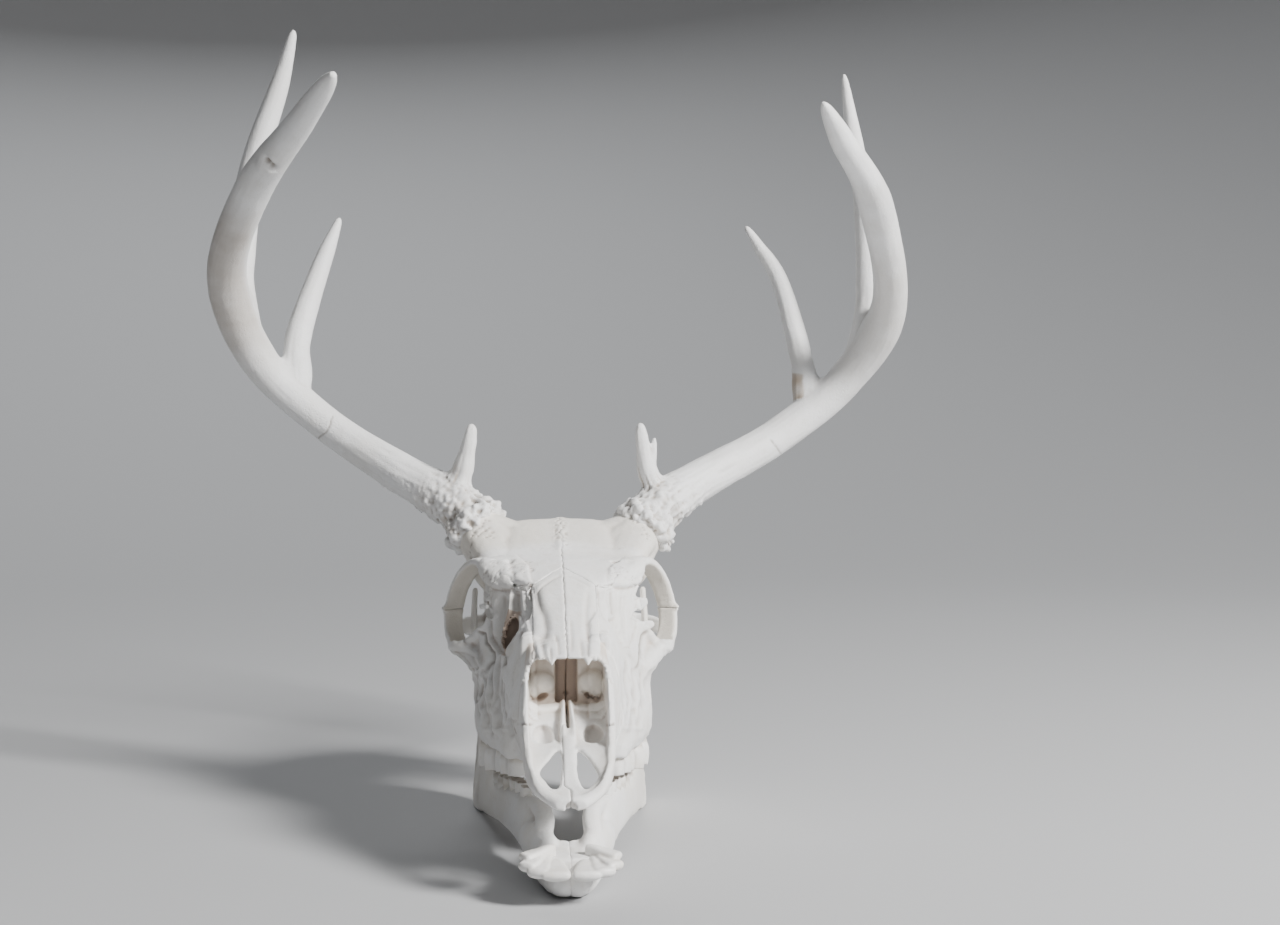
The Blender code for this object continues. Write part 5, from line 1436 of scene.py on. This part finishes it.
def mandible(side, name):
    """One half of the lower jaw, flat where it rests and where it meets the other half."""
    solids = [jaw_body(side)] + jaw_branch(side)
    solids.append(ball("chin", mirrored((2.6, 22, -37.2), side), (8.4, 14, 7.3)))
    solids.append(bar("front_shelf", mirrored([(2.5, 40, -27.4), (5, 26, -28.4), (6.5, 11, -29.4)],
                                              side), (1, 0, 0),
                      line((0, 6), (0.5, 12), (1, 15)), line((0, 3), (1, 3.4)), 20, 24))
    solids.append(ball("neck_swell", mirrored((12.6, 50, -29), side), (6.2, 26, 9.4),
                       (-15 * side, "Z")))
    # the high inner edge between the cheek teeth and the front teeth
    solids.append(bar("inner_edge", mirrored([(10.4, 38, -28), (10.8, 44, -23), (10.2, 51, -18.5),
                                              (11.6, 62, -15.6), (16.5, 77, -14.4)], side),
                      (0, 0, 1), line((0, 3.4), (0.4, 4.2), (1, 2.6)),
                      line((0, 3.6), (0.4, 4.2), (1, 3.2)), 30, 18))
    half = joined(name, solids)
    fuse(half, BONE_GRID, 9)
    for pit in paired(JAW_PITS, side):
        boolean(half, pit)
    keep = bmesh.new()
    bmesh.ops.create_cube(keep, size=1.0)
    box = Matrix.Translation((side * (50 - CHIN_LAP), 130, FLOOR_Z + 100))
    bmesh.ops.transform(keep, matrix=box @ Matrix.Diagonal((100, 400, 200, 1)), verts=keep.verts)
    boolean(half, bmesh_object("keep", keep), "INTERSECT")
    fuse(half, BONE_GRID, 0)
    relief = Relief(half)
    p = relief.points
    relief.lift += 0.2 * layered_grain(p, 8, 21) + 0.07 * grain(p, 2.4, 24)
    # the wide shallow hollow of the chewing muscle, outside on the branch
    dip = np.exp(-((p[:, 1] - 214) / 15) ** 2 - ((p[:, 2] + 12) / 18) ** 2)
    relief.lift -= 1.0 * dip * (p[:, 0] * side > 41)
    relief.crease(mirrored([(13, 40, -30), (14, 46, -32), (16, 52, -32)], side), 1.0, 0.4)
    for y in np.arange(82, 156, 5.2):
        x = JAW_X(y) + JAW_HALF_THICK(y)
        relief.crease(mirrored([(x, y, JAW_TOP_Z(y) + 1), (x + 0.5, y + 1, JAW_TOP_Z(y) - 7)],
                               side), 0.8, 0.35)
    relief.crease(mirrored([(44, 196, -34), (44, 212, -30), (43, 226, -22)], side), 2.0, -0.5)
    relief.pores(*np.sort(mirrored([(2, 12, -46), (16, 36, -34)], side), axis=0), 22, 0.7, 0.3,
                 25)
    relief.tint("cream", 0.5 * soft_step(p[:, 1], 90, 170))
    relief.finish()
    points = array_of(half.data, "vertices", "co", 3)
    points[:, 2] = np.maximum(points[:, 2], FLOOR_Z)
    half.data.vertices.foreach_set("co", points.ravel())
    return half


# ---------------- antlers

BEAMS = {
    "right": ((-42, 214, 98), (-54, 221, 111), (-79, 236, 124), (-122, 259, 150.6),
              (-158, 260, 185.4), (-170.3, 231, 228), (-151.2, 181, 267), (-122.2, 133, 296.2),
              (-104.3, 98.5, 313.2)),
    "left": ((42, 214, 97), (52.6, 220, 109.8), (74.8, 238, 122), (118, 259, 144.5),
             (154.6, 260, 174.8), (172.8, 230, 213.3), (156, 176, 262.3), (132.6, 134, 289.2),
             (120, 108.5, 303)),
}
BEAM_RADIUS = {
    "right": line((0, 12.8), (0.05, 12.4), (0.12, 10.9), (0.2, 9.6), (0.28, 9.1), (0.41, 10.0),
                  (0.5, 10.7), (0.58, 9.9), (0.66, 9.4), (0.74, 9.2), (0.83, 7.7),
                  (0.91, 6.2), (0.96, 5.0), (0.985, 3.6), (1, 1.6)),
    "left": line((0, 12.8), (0.05, 12.2), (0.12, 10.7), (0.2, 9.8), (0.28, 9.5), (0.41, 9.7),
                 (0.5, 10.4), (0.58, 9.0), (0.66, 8.6), (0.75, 8.8), (0.83, 7.2),
                 (0.91, 5.9), (0.96, 4.2), (0.985, 2.9), (1, 1.2)),
}
# Each tine: its path from inside the beam to its tip, and its radius at the base and middle.
TINES = {
    "right": {
        "brow_tine": (((-56, 221, 112), (-50.3, 219.5, 126), (-46.5, 217, 141),
                       (-44.7, 216, 152)), 9.4, 5.2),
        "second_tine": (((-136.8, 262.5, 168), (-139, 275, 194), (-130, 288.5, 228.5),
                         (-117.6, 295, 262.4)), 8.4, 6.2),
        "third_tine": (((-161, 255, 189), (-165.6, 253, 211), (-167.4, 253.5, 237),
                        (-159.6, 258, 287), (-145.2, 255.5, 329.6), (-137.2, 250, 356.6)),
                       8.8, 7.3),
    },
    "left": {
        "brow_tine": (((55, 221, 110), (46.4, 220, 125), (42.8, 217, 141),
                       (41.4, 216, 152.4)), 9.0, 4.9),
        "second_tine": (((132.5, 263, 160), (133.3, 270, 180), (123.2, 287, 226.5),
                         (111, 292.5, 248.4), (104.2, 294, 258.9)), 7.8, 5.4),
        "third_tine": (((158.5, 256, 179), (164.2, 253, 201), (165.8, 254.5, 226),
                        (163.8, 259.5, 272), (156.3, 257, 314), (152.1, 253, 336.7)),
                       8.4, 5.8),
    },
}
STICKER = ((47.0, 218.5, 131), (48.2, 218.2, 138), (49.2, 218, 145))  # on the left brow tine
# Bone between the right brow tine and the beam behind it.
BROW_WEB = ((-50.5, 220.5, 124), (-57, 223, 121.2), (-64, 227.5, 119.4), (-74, 233.5, 121.2))
BEAM_POINTS, TINE_POINTS = 200, 70
BURR_RADIUS = 17.2
KNOBS = 120  # on the crown
KNOBS_ROUND = 24.3  # of them in one round, so that the next round stands between them
BEADS = 300  # up the foot of the beam; the ones that come out too small are left out
BEADED = {"right": (0.012, 0.18), "left": (0.012, 0.12)}  # share of the beam that has beads
# The smooth lumps on the inner top of each crown (centre and size).
COLLAR = {
    "right": ((-35.2, 214.5, 109.2, 4.6), (-39.8, 211.5, 112.2, 4.0), (-32.0, 217, 105.0, 3.8)),
    "left": ((35.4, 214.5, 108.0, 4.6), (40.2, 211.5, 111.0, 4.0), (32.2, 217, 104.0, 3.8)),
}
FORK_REACH = (9, 12, 15)  # how far the foot of each tine is evened out
# the darkened front of each beam: a tan stain and painted shade, in these strengths
BEAM_STAIN_AND_SHADE = {"right": (0.5, 0.55), "left": (0.16, 0.2)}  # strength of its tan and its shade
# Knobs and pits on the beams (centre, size, depth), and fine cracks drawn on the sheet.
ANTLER_SPOTS = {
    "right": (((-140.0, 150.6, 278.8), 2.1, 3.0), ((-138.0, 151.0, 275.4), 1.9, 2.6),
              ((-143.2, 155.4, 277.0), 3.0, -1.6), ((-139.6, 153.6, 272.4), 2.6, -1.5),
              ((-137.6, 148.0, 279.6), 2.2, -0.8)),
    "left": (((172, 222, 232), 3, 0.5),),
}
ANTLER_CRACKS = {
    "right": (((-109.1, 157.6), (-110.2, 154.0), (-112.3, 150.0), (-116.8, 146.2)),),
    "left": (((99.5, 146), (102.5, 142.5), (104.8, 139.2)),),
}


def burr_knobs(word, path, random):
    """The rough crown at the foot, and the beads that run a little way up the beam."""
    ahead = headings(path)
    side, over = carried_frames(path)
    outer = OUTWARD[word]
    made = [tube("burr_core", path[0] + ahead[0] * np.linspace(-1.2, 7.5, 10)[:, None],
                 line((0, 13), (0.2, 14.8), (0.6, 14.8), (1, 12.4)), 40)]
    for x, y, z, size in COLLAR[word]:
        made.append(ball("collar", (x, y, z), (size * 1.25, size * 1.1, size * 0.85)))
    for k in range(KNOBS):
        turn = 2 * math.pi * (k + random.uniform(-0.5, 0.5)) / KNOBS_ROUND
        out = side[0] * math.cos(turn) + over[0] * math.sin(turn)
        along = random.uniform(-1.2, 8.5)
        size = random.uniform(0.9, 3.1) * random.uniform(0.9, 1.15)
        reach = BURR_RADIUS - size - 0.09 * (along - 3) ** 2 + random.uniform(-1.6, 1.0)
        centre = path[0] + ahead[0] * along + out * reach
        made.append(ball("knob", centre, (size * random.uniform(0.75, 1.35), size,
                                          size * random.uniform(0.75, 1.5)), rounds=2))
    radius = BEAM_RADIUS[word]
    for _ in range(BEADS):
        place = random.uniform(*BEADED[word])
        at = int(place * (len(path) - 1))
        turn = random.uniform(0, 2 * math.pi)
        out = side[at] * math.cos(turn) + over[at] * math.sin(turn)
        low_side = 0.55 - 0.45 * out[2] + 0.25 * out[0] * outer
        size = random.uniform(0.7, 2.3) * low_side * (1 - place * 3.4)
        if size < 0.5:
            continue
        centre = path[at] + out * (radius(place) - size * 0.15)
        made.append(ball("bead", centre, (size, size, size * random.uniform(1, 1.6)), rounds=1))
    return made


def beside_paths(points, strands):
    """For each point: the strand of the antler that it lies on, how far along that it is (0 to
    1), and its way out from the strand in two directions with its distance from the foot.
    """
    best = np.full(len(points), FAR)
    which = np.zeros(len(points), int)
    place = np.zeros(len(points))
    roll = np.zeros((len(points), 3))
    for k, (path, radius) in enumerate(strands):
        side, over = carried_frames(path)
        reach = np.concatenate([[0], np.cumsum(np.linalg.norm(np.diff(path, axis=0), axis=1))])
        for start in range(0, len(points), AT_ONCE):
            part = slice(start, start + AT_ONCE)
            off = np.linalg.norm(points[part, None] - path[None], axis=2)
            at = off.argmin(axis=1)
            share = at / (len(path) - 1)
            clear = off[np.arange(len(at)), at] - radius(share)
            nearer = clear < best[part]
            chosen = np.flatnonzero(nearer) + start
            at = at[nearer]
            best[chosen] = clear[nearer]
            which[chosen] = k
            place[chosen] = at / (len(path) - 1)
            out = unit(points[chosen] - path[at])
            roll[chosen] = np.stack([(out * side[at]).sum(axis=1), (out * over[at]).sum(axis=1),
                                     reach[at]], axis=1)
    return which, place, roll


def tine_girth(name, root, middle):
    """The radius along a tine; the tip of a brow tine is blunter than the others."""
    if name == "brow_tine":
        ends = (0.67, 0.76), (0.78, 0.71), (0.88, 0.6), (0.965, 0.42), (1, 0.13)
    else:
        ends = (0.78, 0.76), (0.95, 0.4), (0.985, 0.28), (1, 0.12)
    return line((0, root * 0.6), (0.1, root), (0.25, middle * 1.2), (0.5, middle),
                *((place, middle * share) for place, share in ends))


def grown_antler(word, seed):
    """The fused beam, tines and crown of one side, and the path and radius of each strand."""
    path = smooth_path(BEAMS[word], BEAM_POINTS)
    strands = [(path, BEAM_RADIUS[word])]
    for name, (points, root, middle) in TINES[word].items():
        strands.append((smooth_path(points, TINE_POINTS), tine_girth(name, root, middle)))
    solids = [tube("strand", p, r, 32) for p, r in strands]
    if word == "left":
        solids.append(tube("sticker", smooth_path(STICKER, 14),
                           line((0, 3), (0.6, 1.9), (1, 0.6)), 14))
    else:
        solids.append(tube("brow_web", smooth_path(BROW_WEB, 24),
                           line((0, 4.5), (0.35, 7.4), (0.7, 9.0), (1, 8.6)), 24))
    solids += burr_knobs(word, path, np.random.default_rng(seed))
    obj = joined(f"antler_{word}", solids)
    fuse(obj, ANTLER_GRID, 1)
    return obj, strands


def ease_forks(relief, strands):
    """Lets each tine grow out of the beam without an edge."""
    weight = np.zeros(len(relief.points))
    for (tine, _), reach in zip(strands[1:], FORK_REACH):
        start = tine[int(0.16 * len(tine))]
        off = np.linalg.norm(relief.points - start, axis=1)
        weight = np.maximum(weight, soft_step(1.5 - off / reach, 0, 0.6))
    foot = strands[0][0][0]
    weight *= soft_step(np.linalg.norm(relief.points - foot, axis=1), 19, 26)
    relief.soften(weight, 60)


def antler_grain(relief, word, seed, which, place, roll):
    """Furrows along the beam and tines, and strings of rough bone at the foot of the beam."""
    p = relief.points
    on_beam = which == 0
    furrow = roll * (9, 9, 1) / (1, 1, 9)
    fading = np.where(on_beam, 1.0 - 0.78 * soft_step(place, 0.06, 0.34),
                      1.0 - 0.6 * soft_step(place, 0.1, 0.6))
    fading = fading * np.where(which == 1, 1.5, np.where(on_beam, 1, 0.4))
    ridges = 1 - 2 * np.abs(grain(furrow, 2.6, seed))
    relief.lift += fading * (0.34 * ridges + 0.22 * grain(furrow, 1.3, seed + 1))
    relief.lift += 0.1 * layered_grain(p, 10, seed + 3)
    at_foot = on_beam * soft_step(0.11 - place, 0, 0.07)
    strings = soft_step(grain(roll * (14, 14, 1) / (1, 1, 3.2), 2.8, seed + 6), 0.15, 0.7)
    relief.lift += at_foot * (0.8 * layered_grain(p, 4.2, seed + 4)
                              + 0.75 * grain(p, 1.9, seed + 10) - 0.8 * strings)
    relief.tint("shade", 0.5 * at_foot * strings)
    relief.tint("tan", 0.35 * at_foot * soft_step(layered_grain(p, 6, seed + 8), 0, 0.6)
                * soft_step(p[:, 0] * OUTWARD[word], 44, 52))
    deep_furrow = soft_step(-ridges, 0.1, 0.9) * fading
    relief.tint("shade", 0.5 * deep_furrow * soft_step(0.3 - place, 0, 0.2))
    return ridges


def antler_stains_and_painted_shade(relief, word, seed, which, place, ridges):
    """Tan on the brow tine and the left second tine, and on the beam's front a tan stain with
    painted shade.
    """
    p = relief.points
    seen_x, seen_z = relief.seen.T
    lower = (which == 1) * soft_step(place, 0.05, 0.2)
    if word == "right":
        relief.tint("tan", 0.7 * lower * soft_step(-ridges, -0.4, 0.7)
                    * soft_step(0.62 - place, 0, 0.2) * soft_step(-49 - seen_x, 0, 2.5))
    else:
        relief.tint("tan", 0.6 * lower * soft_step(-ridges, -0.3, 0.6)
                    * soft_step(0.62 - place, 0, 0.15))
        relief.tint("tan", 0.8 * (which == 2) * (0.7 + 0.3 * grain(p, 5, 7))
                    * soft_step(116.4 + 0.8 * grain(p, 3, 7) - seen_x, 0, 1.6)
                    * soft_step(178.4 + 0.6 * grain(p, 3, 8) - seen_z, 0, 1))
    on_beam = which == 0
    # the part of the beam that bends forward is darker on its front, facing the camera: mostly
    # painted shade, with a tan stain
    stain_and_painted_shade = (on_beam * soft_step(place, 0.36, 0.5) * soft_step(0.74 - place, 0, 0.1)
               * soft_step(-relief.normals[:, 1], -0.1, 0.5)
               * (0.7 + 0.3 * layered_grain(p * (1, 1, 2.5), 16, seed + 9)))
    for name, strength in zip(("tan", "shade"), BEAM_STAIN_AND_SHADE[word]):
        relief.tint(name, strength * stain_and_painted_shade)
    mottled = soft_step(layered_grain(p * (1, 1, 0.8), 22, seed + 5), -0.1, 0.7)
    relief.tint("shade", 0.22 * mottled * on_beam * soft_step(place, 0.1, 0.5))


def antler(word, seed):
    """One whole antler, grown together from its beam, tines, crown and beads."""
    obj, strands = grown_antler(word, seed)
    relief = Relief(obj)
    ease_forks(relief, strands)
    which, place, roll = beside_paths(relief.points, strands)
    ridges = antler_grain(relief, word, seed, which, place, roll)
    antler_stains_and_painted_shade(relief, word, seed, which, place, ridges)
    for centre, size, deep in ANTLER_SPOTS[word]:
        off = np.linalg.norm(relief.points - centre, axis=1)
        relief.lift -= deep * np.exp(-(off / size) ** 2)
        relief.tint("shade", (deep > 2) * np.exp(-(off / size) ** 4))
    for crack in ANTLER_CRACKS[word]:
        relief.mark(crack, 0.4, 0.25, 190, 300, crooked=0.4, tint="shade")
    relief.finish()
    return obj


# ---------------- finishes

# Colours (white, cream and tan), roughness, size of the pits in metres, bump and gloss.
FINISHES = {
    "clean_bone": ((0.86, 0.855, 0.845), (0.76, 0.72, 0.65), (0.6, 0.47, 0.38), 0.6, 0.0011,
                   0.3, 0.3),
    "antler_bone": ((0.85, 0.85, 0.85), (0.74, 0.725, 0.69), (0.42, 0.31, 0.2), 0.55, 0.0014,
                    0.32, 0.3),
    "tooth_enamel": ((0.86, 0.85, 0.83), (0.72, 0.66, 0.56), (0.36, 0.26, 0.18), 0.42, 0.0016,
                     0.12, 0.45),
}
SHADE_COLOUR = (0.3, 0.275, 0.25)
BUMP_HEIGHT = 0.0004


def feed(tree, node, inputs):
    """Sets or wires a node's inputs: a number, a colour, or another node's output for each."""
    for name, value in inputs.items():
        if isinstance(value, bpy.types.NodeSocket):
            tree.links.new(value, node.inputs[name])
        else:
            node.inputs[name].default_value = (*value, 1) if isinstance(value, tuple) else value


def bone_finish(name):
    """Matt cleaned bone: white, with cream, tan and grey tints where the piece asks for them; the
    grey and the darker tan of the crevices are painted shade.
    """
    white, cream, tan, roughness, pit_size, bump, gloss = FINISHES[name]
    material = bpy.data.materials.new(name)
    material.use_nodes = True
    tree = material.node_tree

    def added(kind, output, inputs, **settings):
        node = tree.nodes.new(f"ShaderNode{kind}")
        for setting, value in settings.items():
            setattr(node, setting, value)
        feed(tree, node, inputs)
        return node.outputs[output]

    where = added("TexCoord", "Object", {})

    def noise(scale, detail, rough=0.5):
        return added("TexNoise", "Fac", {"Vector": where, "Scale": scale, "Detail": detail,
                                         "Roughness": rough})

    def ramp(value, low, high, low_grey=0.0, high_grey=1.0):
        return added("MapRange", "Result", {
            "Value": value, "From Min": low, "From Max": high, "To Min": low_grey,
            "To Max": high_grey}, interpolation_type="SMOOTHSTEP")

    def times(a, b):
        return added("Math", "Value", {0: a, 1: b}, operation="MULTIPLY")

    def mixed(share, first, second):
        return added("Mix", 2, {"Factor": share, 6: first, 7: second}, data_type="RGBA")

    def tint(attribute):
        return added("Attribute", "Fac", {}, attribute_name=attribute)

    patchy = ramp(noise(55, 4), 0.38, 0.68)
    base = mixed(patchy, white, tuple(0.62 * w + 0.38 * c for w, c in zip(white, cream)))
    base = mixed(ramp(noise(420, 3), 0.52, 0.78, 0, 0.35), base, cream)
    base = mixed(tint("cream"), base, cream)
    base = mixed(tint("tan"), base, tan)
    # painted shade: a darker tan in the crevices, then grey where the shade tint asks for it
    base = mixed(times(tint("hollow"), 0.75), base, tuple(0.62 * t for t in tan))
    base = mixed(times(tint("shade"), 0.8), base, SHADE_COLOUR)
    speck = ramp(noise(1500, 2, 0.6), 0.66, 0.74, 0, 0.35)
    base = mixed(speck, base, tuple(0.6 * c for c in cream))

    pits = added("TexVoronoi", "Distance", {"Vector": where, "Scale": 1.0 / pit_size})
    pitted = times(ramp(pits, 0.08, 0.42), ramp(noise(90, 3), 0.35, 0.7, 0.15, 1.0))
    height = added("Math", "Value", {0: pitted, 1: times(noise(650, 6, 0.6), 1.4)},
                   operation="ADD")
    raised = added("Bump", "Normal", {"Height": height, "Strength": bump,
                                      "Distance": BUMP_HEIGHT})
    feed(tree, tree.nodes["Principled BSDF"], {
        "Base Color": base, "Normal": raised, "Roughness": roughness, "Specular IOR Level": gloss})
    return material


def settle(obj, material, node_names):
    """Turns a finished piece to metres in its place, and puts it on the skull's body."""
    place = Matrix.Scale(MM, 4) @ Matrix.Translation(-Vector(MIDDLE))
    obj.data.transform(place)
    obj.data.materials.clear()
    obj.data.materials.append(material)
    obj.data.shade_smooth()
    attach(obj, "root")
    if node_names:
        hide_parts(*node_names)


# ---------------- stage

# All in metres: the floor is flat as far as FLOOR_FLAT and rises in a curve to FLOOR_EDGE.
FLOOR_FLAT, FLOOR_EDGE, FLOOR_RISE = 1.3, 5.0, 0.17
FLOOR_SIDES = 96
FLOOR_COLOUR = (0.46, 0.465, 0.475, 1)
# Lamps: place, width, power and colour. Each looks at LIT, low in the middle of the skull.
LAMPS = {
    "key_light": ((1.35, -1.0, 1.25), 0.45, 96, (1, 0.99, 0.975)),
    "front_light": ((0.1, -1.8, 0.8), 0.5, 2.5, (1, 1, 1)),
    "back_light": ((-0.5, 2.6, 2.2), 1.6, 40, (0.97, 0.985, 1)),
}
LIT = (0, 0, 0.15)
ROOM_COLOUR, ROOM_LIGHT = (0.93, 0.96, 1, 1), 0.06
CAMERA_LENS, CAMERA_SENSOR = 60, 36
CAMERA_DROP, CAMERA_TURN = 2.40, 3.42  # degrees below level, and from straight ahead


def floor_dish():
    """A round pale floor whose edge curves up into a low wall."""
    profile = [(r, 0.0) for r in (0.001, 0.4, 0.9, FLOOR_FLAT)]
    profile += [(r, FLOOR_RISE * (r - FLOOR_FLAT) ** 2)
                for r in np.linspace(1.45, FLOOR_EDGE, 26)]
    bm = bmesh.new()
    verts = [bm.verts.new((r, 0, z)) for r, z in profile]
    edges = [bm.edges.new(pair) for pair in zip(verts, verts[1:])]
    bmesh.ops.spin(bm, geom=verts + edges, axis=(0, 0, 1), cent=(0, 0, 0), steps=FLOOR_SIDES,
                   angle=2 * math.pi, use_merge=True)
    bmesh.ops.remove_doubles(bm, verts=bm.verts, dist=0.002)
    bmesh.ops.recalc_face_normals(bm, faces=bm.faces)
    if sum(f.normal.z for f in bm.faces) < 0:
        bmesh.ops.reverse_faces(bm, faces=bm.faces)
    floor = bmesh_object("floor", bm)
    floor.data.shade_smooth()
    pale = bpy.data.materials.new("pale_floor")
    pale.use_nodes = True
    shader = pale.node_tree.nodes["Principled BSDF"]
    shader.inputs["Base Color"].default_value = FLOOR_COLOUR
    shader.inputs["Roughness"].default_value = 0.9
    floor.data.materials.append(pale)
    return floor


def lights():
    """The faint light of the room and three soft lamps."""
    world = bpy.data.worlds.new("room")
    bpy.context.scene.world = world
    world.use_nodes = True
    background = world.node_tree.nodes["Background"]
    background.inputs["Color"].default_value = ROOM_COLOUR
    background.inputs["Strength"].default_value = ROOM_LIGHT
    for name, (place, size, power, colour) in LAMPS.items():
        data = bpy.data.lights.new(name, "AREA")
        data.size = size
        data.energy = power
        data.color = colour
        lamp = bpy.data.objects.new(name, data)
        lamp.location = place
        lamp.rotation_euler = (Vector(LIT) - lamp.location).to_track_quat("-Z", "Y").to_euler()
        bpy.context.scene.collection.objects.link(lamp)


def aim_camera():
    """The camera, a little above the skull and to the animal's right of its nose."""
    data = bpy.data.cameras.new("camera")
    data.lens = CAMERA_LENS
    data.sensor_width = CAMERA_SENSOR
    data.clip_start = 0.05
    camera = bpy.data.objects.new("camera", data)
    camera.location = MM * (EYE - MIDDLE)
    camera.rotation_euler = (math.radians(90 - CAMERA_DROP), 0, math.radians(-CAMERA_TURN))
    bpy.context.scene.collection.objects.link(camera)
    bpy.context.scene.camera = camera


# ---------------- the whole skull

ANTLER_SEEDS = {"left": 11, "right": 7}
ANTLER_PARTS = ("base", "lower_beam", "middle_beam", "upper_beam", "brow_tine", "second_tine",
                "third_tine")


def cheek_teeth(side, word, enamel):
    """The upper and lower row of grinding teeth of one side."""
    upper = tooth_row(f"upper_teeth_{word}", UPPER_TEETH,
                      lambda t: SOCKET_X(t[0]) - t[2] / 2 + UPPER_STAND(t[0]),
                      lambda t: 9.0, lambda t: -t[3], side, lambda y: 1 if y < 110 else 2)
    dress_teeth(upper, UPPER_TEETH, 3.6, -7.5)
    settle(upper, enamel, [])
    lower = tooth_row(f"lower_teeth_{word}", LOWER_TEETH, lambda t: JAW_X(t[0]) - 0.6,
                      lambda t: JAW_TOP_Z(t[0]) - 7, lambda t: JAW_TOP_Z(t[0]) + t[3] - 1.8,
                      side, lambda y: 1 if y < 100 else 3 if y > 145 else 2)
    dress_teeth(lower, LOWER_TEETH, -15, -10)
    settle(lower, enamel, [])


def main():
    bone, antler_bone, enamel = (bone_finish(name) for name in FINISHES)
    for name, obj in bones(cranium()).items():
        piece = dress_bone(obj, name)
        piece.name = f"{name}_bone"
        settle(piece, bone, [name])

    for side, word in SIDES:
        jaw = mandible(side, f"mandible_{word}_bone")
        settle(jaw, bone, [f"mandible_{word}"])
        cheek_teeth(side, word, enamel)

        front = joined(f"front_teeth_{word}", front_teeth(side))
        fuse(front, TOOTH_GRID, 4)
        relief = Relief(front)
        relief.lift += 0.12 * layered_grain(relief.points, 4, 33)
        relief.finish()
        settle(front, enamel, [])

        settle(antler(word, ANTLER_SEEDS[word]), antler_bone,
               [f"antler_{word}_{part}" for part in ANTLER_PARTS])

    floor = floor_dish()
    lights()
    aim_camera()


main()
